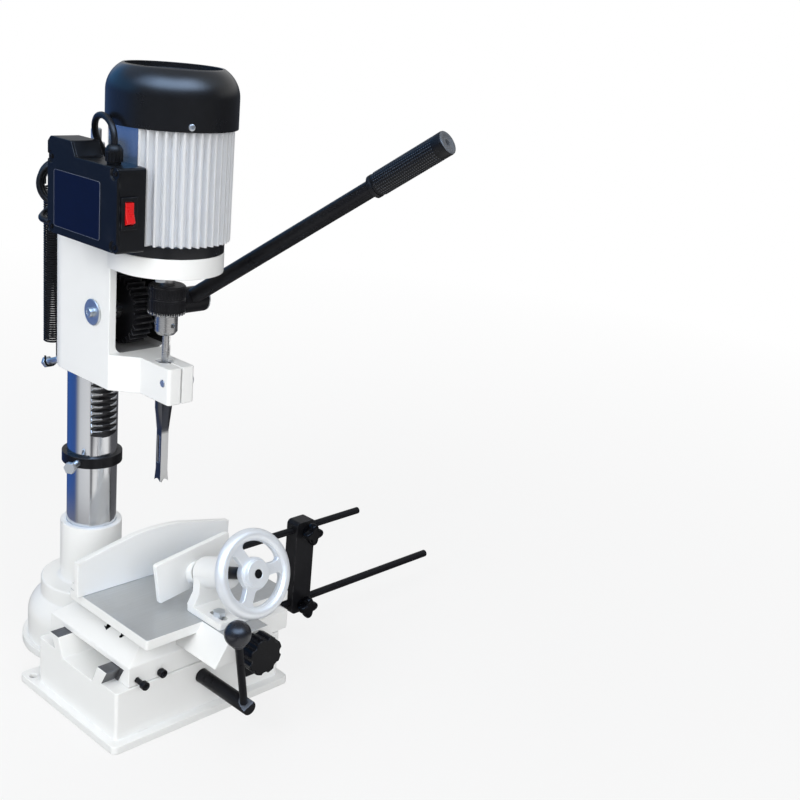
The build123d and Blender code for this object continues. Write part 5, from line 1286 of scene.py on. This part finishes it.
# The feed handle's pivot and lean, and its grip from the near end to the far one, in millimetres.
HANDLE_PIVOT = Vector((86.6, -64.5, 448.0))
HANDLE_RISE = math.radians(35.8)
HANDLE_SPLAY = math.radians(11.4)
GRIP_START = 298.0
GRIP_PROFILE = (
    (9.6, 0.0), (12.3, 0.0), (13.1, 0.8), (13.2, 4.6), (12.9, 5.2), (12.0, 5.6), (12.0, 6.8), (12.8, 7.4),
    (12.95, 8.4), (12.95, 89.0), (13.3, 90.2), (13.4, 99.6), (13.0, 101.2), (12.2, 101.9), (11.0, 102.0),
    (8.4, 101.7), (7.6, 101.1), (3.6, 101.0), (3.3, 97.5), (0.0, 97.4),
)
GRIP_SIDES = 56
CAP_START = 101.0
# The studs along the grip, and one stud's own profile in radii.
STUD_FIRST, STUD_LAST, STUD_STEP, STUD_SEAT = 10.4, 87.6, 2.66, 12.93
STUD_PROFILE = ((1.0, -0.2), (0.92, 0.28), (0.55, 0.48), (0.0, 0.52))
STUD_SIDES = 8


def handle_way():
    """The way that the feed handle points from its pivot."""
    level = Vector((0.0, -math.cos(HANDLE_RISE), math.sin(HANDLE_RISE)))
    return level * math.cos(HANDLE_SPLAY) + X * math.sin(HANDLE_SPLAY)


class MORTISER_OT_handle_grip(bpy.types.Operator):
    """Turn the handle's grip and set the rows of studs on it"""

    bl_idname = "mortiser.handle_grip"
    bl_label = "Handle grip"

    def execute(self, context):
        sizes = context.scene.mortiser_sizes
        seat = aimed(MM * (HANDLE_PIVOT + handle_way() * GRIP_START), handle_way())
        mesh = shaped("grip_core", *lathe(in_metres(GRIP_PROFILE), GRIP_SIDES), seat, outward=False)
        cap_first = GRIP_SIDES * next(i for i, (_, along) in enumerate(GRIP_PROFILE) if along > CAP_START)
        for face in mesh.polygons:
            face.material_index = 1 if face.index >= cap_first else 0
        core = add_object("grip_core", mesh, FINISH["grip_rubber"], FINISH["grip_cap"])
        stand_in(core, "lever_grip")
        places = []
        for turn in full_turn(sizes.grip_rows):
            out = seat.to_3x3() @ spoke(turn)
            for step in range(int((STUD_LAST - STUD_FIRST) / STUD_STEP) + 1):
                along = seat @ (MM * (STUD_FIRST + step * STUD_STEP) * Z)
                places.append((along + out * STUD_SEAT * MM, out))
        one = shaped("stud", *lathe(STUD_PROFILE, STUD_SIDES), outward=False)
        studs = repeated("grip_studs", one, places, FINISH["grip_studs"], sizes.grip_stud)
        settle(studs, "feed_handle", RECORD_SLOT["lever_grip"])
        return {"FINISHED"}


# The washers and small bolts on the two ends of the pinion shaft, in millimetres.
CAP_PROFILE = (
    (0.0, 0.0), (14.4, 0.0), (15.0, 0.5), (15.0, 1.9), (14.3, 2.5), (6.9, 2.5), (6.6, 2.2), (5.6, 2.2),
    (5.6, 6.4), (5.0, 7.1), (3.2, 7.4), (2.9, 6.6), (0.0, 6.5),
)
CAP_SIDES = 60
CAP_SEATS = ((-42.3, -1.0), (108.0, 1.0))


class MORTISER_OT_feed_handle(bpy.types.Operator):
    """Dress the feed handle, its hub and its gear"""

    bl_idname = "mortiser.feed_handle"
    bl_label = "Feed handle"

    def execute(self, context):
        sizes = context.scene.mortiser_sizes
        dress_all(sizes.machined_round, "lever_hub", "lever_bar", "pinion_shaft", "drive_pinion")
        cap = shaped("end_cap", *lathe(in_metres(CAP_PROFILE), CAP_SIDES))
        ends = [(MM * Vector((x, HANDLE_PIVOT.y, HANDLE_PIVOT.z)), way * X) for x, way in CAP_SEATS]
        stand_in(repeated("end_caps", cap, ends, FINISH["zinc"]), "shaft_end_screws")
        return {"FINISHED"}


# The way that the ball lever points from the feed shaft.
BALL_WAY = Vector((-0.3945, -0.3584, 0.8461))


def shaft_face(middle, normal):
    """The flat that the ball lever is screwed down on is bare iron darkened as painted shade, the rest is
    black.
    """
    return 1 if normal.dot(BALL_WAY) > SQUARE else 0


class MORTISER_OT_slides(bpy.types.Operator):
    """Dress the cross slide's lever, knob and screws"""

    bl_idname = "mortiser.slides"
    bl_label = "Slides"

    def execute(self, context):
        machined = context.scene.mortiser_sizes.machined_round
        dress("star_knob", machined * HAND_HELD, steps=3)
        dress("feed_shaft", machined, choose=shaft_face, finishes=("black_oxide", "way_iron"))
        dress_all(machined, "feed_lever", "feed_ball", "cross_screw", "gib_screws", "table_bolts")
        return {"FINISHED"}


class MORTISER_OT_clamp(bpy.types.Operator):
    """Dress the clamp's handwheel and screw"""

    bl_idname = "mortiser.clamp"
    bl_label = "Clamp"

    def execute(self, context):
        machined = context.scene.mortiser_sizes.machined_round
        dress("handwheel", machined * HAND_HELD, steps=3)
        dress("clamp_screw", machined)
        return {"FINISHED"}


# The stop's knobs in millimetres: stem and neck, then the lobes' outline, then the flat face.
KNOB_STEM = ((0.0, -4.0), (3.0, -4.0), (3.0, 0.0), (6.0, 0.0), (6.0, 5.4))
KNOB_LOBES = 4
KNOB_SIDES = 72
# The radius between the lobes, what a lobe adds to it, and a power under 1 that makes the lobes broad.
LOBE_ROOT, LOBE_RISE, LOBE_POWER = 8.6, 6.3, 0.75
# Height up the knob from its seat against its share of the full outline.
KNOB_ROWS = ((6.0, 0.70), (7.0, 0.84), (9.0, 0.94), (13.0, 1.0), (16.5, 0.98), (18.2, 0.90), (19.0, 0.76))
KNOB_TOP = KNOB_ROWS[-1][0]
KNOB_FACE = ((5.0, KNOB_TOP), (0.0, KNOB_TOP))


def lobe_outline(height, share):
    """One level of a knob with rounded lobes and deep gaps between them."""
    outline = []
    for turn in full_turn(KNOB_SIDES):
        lobe = (0.5 + 0.5 * math.cos(KNOB_LOBES * turn)) ** LOBE_POWER
        outline.append(MM * spoke(turn, share * (LOBE_ROOT + LOBE_RISE * lobe), height))
    return outline


class MORTISER_OT_work_stop(bpy.types.Operator):
    """Dress the work stop's rods and block, and mould its knobs"""

    bl_idname = "mortiser.work_stop"
    bl_label = "Work stop"

    def execute(self, context):
        sizes = context.scene.mortiser_sizes
        dress_all(sizes.machined_round, "lower_stop_rod", "upper_stop_rod", "stop_block")
        for node in ("upper_stop_knob", "lower_stop_knob"):
            self.mould_knob(node)
        return {"FINISHED"}

    def mould_knob(self, node):
        """Moulds a knob in place of its solid."""
        low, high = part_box(node)
        seat = Vector(((low[0] + high[0]) / 2, low[1] + KNOB_TOP * MM, (low[2] + high[2]) / 2))
        stem, face = (
            [ring(radius, height, KNOB_SIDES) for radius, height in in_metres(profile)]
            for profile in (KNOB_STEM, KNOB_FACE))
        lobes = [lobe_outline(height, share) for height, share in KNOB_ROWS]
        mesh = shaped(node + "_moulded", *loft([*stem, *lobes, *face]), aimed(seat, -Y))
        stand_in(add_object(node + "_moulded", mesh, FINISH["knob_plastic"]), node)


# The camera: its turn, tilt and roll in radians, its place, and its focal length and picture in pixels.
CAMERA_YAW, CAMERA_PITCH, CAMERA_ROLL = -0.8292, 0.3145, 0.0942
CAMERA_PLACE = Vector((-0.78517, -1.22076, 0.81100))
FOCAL_PIXELS, PICTURE_PIXELS = 1229.7, 800.0
SENSOR = 36.0
WHITE = (1.0, 1.0, 1.0)
# The soft lamps: place, what they are aimed at, width and height, power and colour.
LAMPS = {
    "left": ((-1.6, -0.45, 1.30), (0.0, 0.0, 0.40), (1.0, 1.0), 19.0, (0.95, 0.98, 1.0)),
    "front": ((-1.1, -3.0, 1.45), (0.0, -0.1, 0.25), (1.9, 1.5), 42.0, WHITE),
    "top": ((-0.2, -0.5, 2.6), (0.0, -0.1, 0.3), (1.6, 1.6), 8.0, WHITE),
    "back": ((1.5, 1.6, 1.4), (0.0, 0.0, 0.35), (1.2, 1.2), 16.0, WHITE),
}
# The floor's size, how far it lies under the feet, its grey, and the share of its mirrored surroundings.
FLOOR_SIZE, FLOOR_DROP, FLOOR_GREY, FLOOR_MIRRORED = 60.0, 0.0006, (0.62, 0.62, 0.62), 0.96
# Distances that the floor's fade to white and its mirrored surroundings are measured by, and the shares
# of them between which the fade, the near surroundings and the far ones come up.
FADE_REACH, MIRROR_REACH = 4.0, 6.0
FADE_STOPS = ((0.15, 0.80), (0.60, 1.0))
NEAR_FROM, FAR_FROM = (0.055, 0.085), (0.20, 0.50)
# What polished metal sees round about, by the turn from -X through -Y to +X and +Y.
UNDER_FOOT = (0.22, 0.22, 0.23)
NEAR_ROUND = (
    (0.00, (0.72, 0.74, 0.77)), (0.125, (0.85, 0.86, 0.88)), (0.142, (0.16, 0.16, 0.17)),
    (0.163, (0.16, 0.16, 0.17)), (0.185, (1.0, 1.0, 1.0)), (0.365, (1.0, 1.0, 1.0)),
    (0.40, (0.10, 0.10, 0.11)), (0.62, (0.08, 0.08, 0.09)), (0.68, (0.015, 0.05, 0.18)),
    (0.80, (0.015, 0.095, 0.40)), (0.93, (0.015, 0.08, 0.32)), (0.965, (0.30, 0.32, 0.36)),
    (1.0, (0.72, 0.74, 0.77)),
)
FAR_ROUND = (
    (0.00, (0.06, 0.07, 0.09)), (0.18, (0.07, 0.07, 0.08)), (0.37, (0.09, 0.09, 0.09)),
    (0.42, (0.05, 0.05, 0.055)), (0.64, (0.05, 0.06, 0.08)), (0.74, (0.05, 0.12, 0.32)),
    (0.90, (0.06, 0.15, 0.40)), (0.97, (0.07, 0.10, 0.16)), (1.0, (0.06, 0.07, 0.09)),
)
WALL_ROUND = (
    (0.00, (0.10, 0.11, 0.13)), (0.36, (0.12, 0.12, 0.13)), (0.42, (0.46, 0.46, 0.46)),
    (0.67, (0.62, 0.62, 0.62)), (0.74, (0.10, 0.34, 0.74)), (0.93, (0.12, 0.38, 0.80)),
    (1.0, (0.10, 0.11, 0.13)),
)
# The broad soft box above and in front, by the same turn.
BOX_ROUND = (
    (0.00, (2.0, 2.8, 4.2)), (0.05, (3.6, 5.0, 7.2)), (0.27, (3.8, 5.0, 7.0)), (0.37, (0.6, 0.7, 0.8)),
    (0.50, (0.40, 0.41, 0.43)), (0.90, (0.25, 0.34, 0.50)), (1.0, (2.0, 2.8, 4.2)),
)
OVERHEAD = (0.35, 0.38, 0.42)
DULL_SKY = (0.50, 0.505, 0.515)
# Heights of the look upwards between which the wall, the soft box and the overhead part begin.
WALL_FROM, BOX_FROM, OVERHEAD_FROM = (0.02, 0.20), (0.44, 0.64), (0.84, 0.97)


def soft_lamp(name, place, aim, size, power, colour):
    """A broad lamp that isn't seen in reflections."""
    lamp = bpy.data.lights.new(name, "AREA")
    lamp.shape = "RECTANGLE"
    lamp.size, lamp.size_y = size
    lamp.energy = power
    lamp.color = colour
    made = add_object(name, lamp)
    made.location = place
    made.rotation_euler = (Vector(aim) - Vector(place)).to_track_quat("-Z", "Y").to_euler()
    made.visible_glossy = False


def turn_about(x, y):
    """The turn round the column, from 0 at -X by way of -Y to 1."""
    return y.math("ARCTAN2", y, x) / (2 * math.pi) + 0.5


def looks(n):
    """1 for what the camera sees, also through something clear, and 1 for what is mirrored."""
    camera, glossy, through = n.outputs(
        "ShaderNodeLightPath", "Is Camera Ray", "Is Glossy Ray", "Is Transmission Ray")
    return camera.math("MAXIMUM", camera, through), glossy


class MORTISER_OT_stage(bpy.types.Operator):
    """Set up the camera, the pale floor and the soft light"""

    bl_idname = "mortiser.stage"
    bl_label = "Stage"

    def execute(self, context):
        scene = context.scene
        scene.view_settings.view_transform = "Standard"
        self.add_camera(scene)
        self.add_floor()
        self.add_world(scene)
        for name, how in LAMPS.items():
            soft_lamp(name, *how)
        return {"FINISHED"}

    def add_camera(self, scene):
        """The camera that the photograph was taken from."""
        right = spoke(CAMERA_YAW)
        level = spoke(CAMERA_YAW - math.pi / 2)
        back = level * math.cos(CAMERA_PITCH) + Z * math.sin(CAMERA_PITCH)
        turned = math.cos(CAMERA_ROLL) * right + math.sin(CAMERA_ROLL) * back.cross(right)
        lens = bpy.data.cameras.new("view")
        lens.sensor_width = SENSOR
        lens.lens = FOCAL_PIXELS * SENSOR / PICTURE_PIXELS
        lens.clip_start = 0.01
        scene.camera = add_object("view", lens)
        axes = Matrix((turned, back.cross(turned), back)).transposed().to_4x4()
        scene.camera.matrix_world = Matrix.Translation(CAMERA_PLACE) @ axes

    def add_floor(self):
        """A floor that is white to the camera, and a studio to polished metal."""
        bpy.ops.mesh.primitive_grid_add(size=FLOOR_SIZE, x_subdivisions=12, y_subdivisions=12)
        floor = bpy.context.object
        floor.name = "floor"
        floor.location.z = -FLOOR_DROP
        material = bpy.data.materials.new("floor")
        material.use_nodes = True
        n = Nodes(material.node_tree)
        here = n.node("ShaderNodeTexCoord", out="Object")
        x, y, _ = n.axes(here)
        away = n.node("ShaderNodeVectorMath", {"operation": "LENGTH"}, {0: here}, out="Value")
        seen, glossy = looks(n)
        matte = n.node("ShaderNodeBsdfDiffuse", None, {"Color": (*FLOOR_GREY, 1.0)})
        white = n.node("ShaderNodeEmission", None, {"Color": (*WHITE, 1.0), "Strength": 1.0})
        fade = n.ramp(away / FADE_REACH, *FADE_STOPS)
        shown = n.node("ShaderNodeMixShader", None, {0: seen * fade, 1: matte, 2: white})
        turn = turn_about(x, y)
        away = away / MIRROR_REACH
        near = n.blend(n.rise(away, *NEAR_FROM), UNDER_FOOT, n.ramp(turn, *NEAR_ROUND))
        mirrored = n.blend(n.rise(away, *FAR_FROM), near, n.ramp(turn, *FAR_ROUND))
        shine = n.node("ShaderNodeEmission", None, {"Color": mirrored, "Strength": 1.0})
        both = n.node("ShaderNodeMixShader", None, {0: glossy * FLOOR_MIRRORED, 1: shown, 2: shine})
        n.node("ShaderNodeOutputMaterial", None, {0: both})
        floor.data.materials.append(material)

    def add_world(self, scene):
        """White to the camera, dull to paint, and walls with a soft box to polished metal."""
        world = bpy.data.worlds.new("studio")
        scene.world = world
        world.use_nodes = True
        n = Nodes(world.node_tree)
        seen, glossy = looks(n)
        x, y, z = n.axes(n.node("ShaderNodeTexCoord", out="Generated"))
        turn = turn_about(x, y)
        wall = n.blend(n.rise(z, *WALL_FROM), n.ramp(turn, *FAR_ROUND), n.ramp(turn, *WALL_ROUND))
        box = n.blend(n.rise(z, *BOX_FROM), wall, n.ramp(turn, *BOX_ROUND))
        dome = n.blend(n.rise(z, *OVERHEAD_FROM), box, OVERHEAD)
        shown = n.blend(seen, n.blend(glossy, DULL_SKY, dome), WHITE)
        sky = n.node("ShaderNodeBackground", None, {"Color": shown, "Strength": 1.0})
        n.node("ShaderNodeOutputWorld", None, {0: sky})


class MORTISER_PT_sidebar(bpy.types.Panel):
    """Lists the steps that dress the mortiser"""

    bl_idname = "MORTISER_PT_sidebar"
    bl_label = "Bench mortiser"
    bl_space_type = "VIEW_3D"
    bl_region_type = "UI"
    bl_category = "Mortiser"

    def draw(self, context):
        for step in STEPS:
            self.layout.operator(step.bl_idname)


STEPS = (
    MORTISER_OT_finishes,
    MORTISER_OT_mains_lead,
    MORTISER_OT_castings,
    MORTISER_OT_blank_plates,
    MORTISER_OT_column,
    MORTISER_OT_return_spring,
    MORTISER_OT_motor,
    MORTISER_OT_pan_screws,
    MORTISER_OT_switch_box,
    MORTISER_OT_spindle,
    MORTISER_OT_feed_handle,
    MORTISER_OT_handle_grip,
    MORTISER_OT_slides,
    MORTISER_OT_clamp,
    MORTISER_OT_work_stop,
    MORTISER_OT_stage,
)
CLASSES = (MortiserSizes, MortiserColours, *STEPS, MORTISER_PT_sidebar)


def register():
    for item in CLASSES:
        bpy.utils.register_class(item)
    bpy.types.Scene.mortiser_sizes = bpy.props.PointerProperty(type=MortiserSizes)
    bpy.types.Scene.mortiser_colours = bpy.props.PointerProperty(type=MortiserColours)


def unregister():
    del bpy.types.Scene.mortiser_colours
    del bpy.types.Scene.mortiser_sizes
    for item in reversed(CLASSES):
        bpy.utils.unregister_class(item)


def main():
    register()
    for step in STEPS:
        group, name = step.bl_idname.split(".")
        getattr(getattr(bpy.ops, group), name)()


if __name__ == "__main__":
    main()
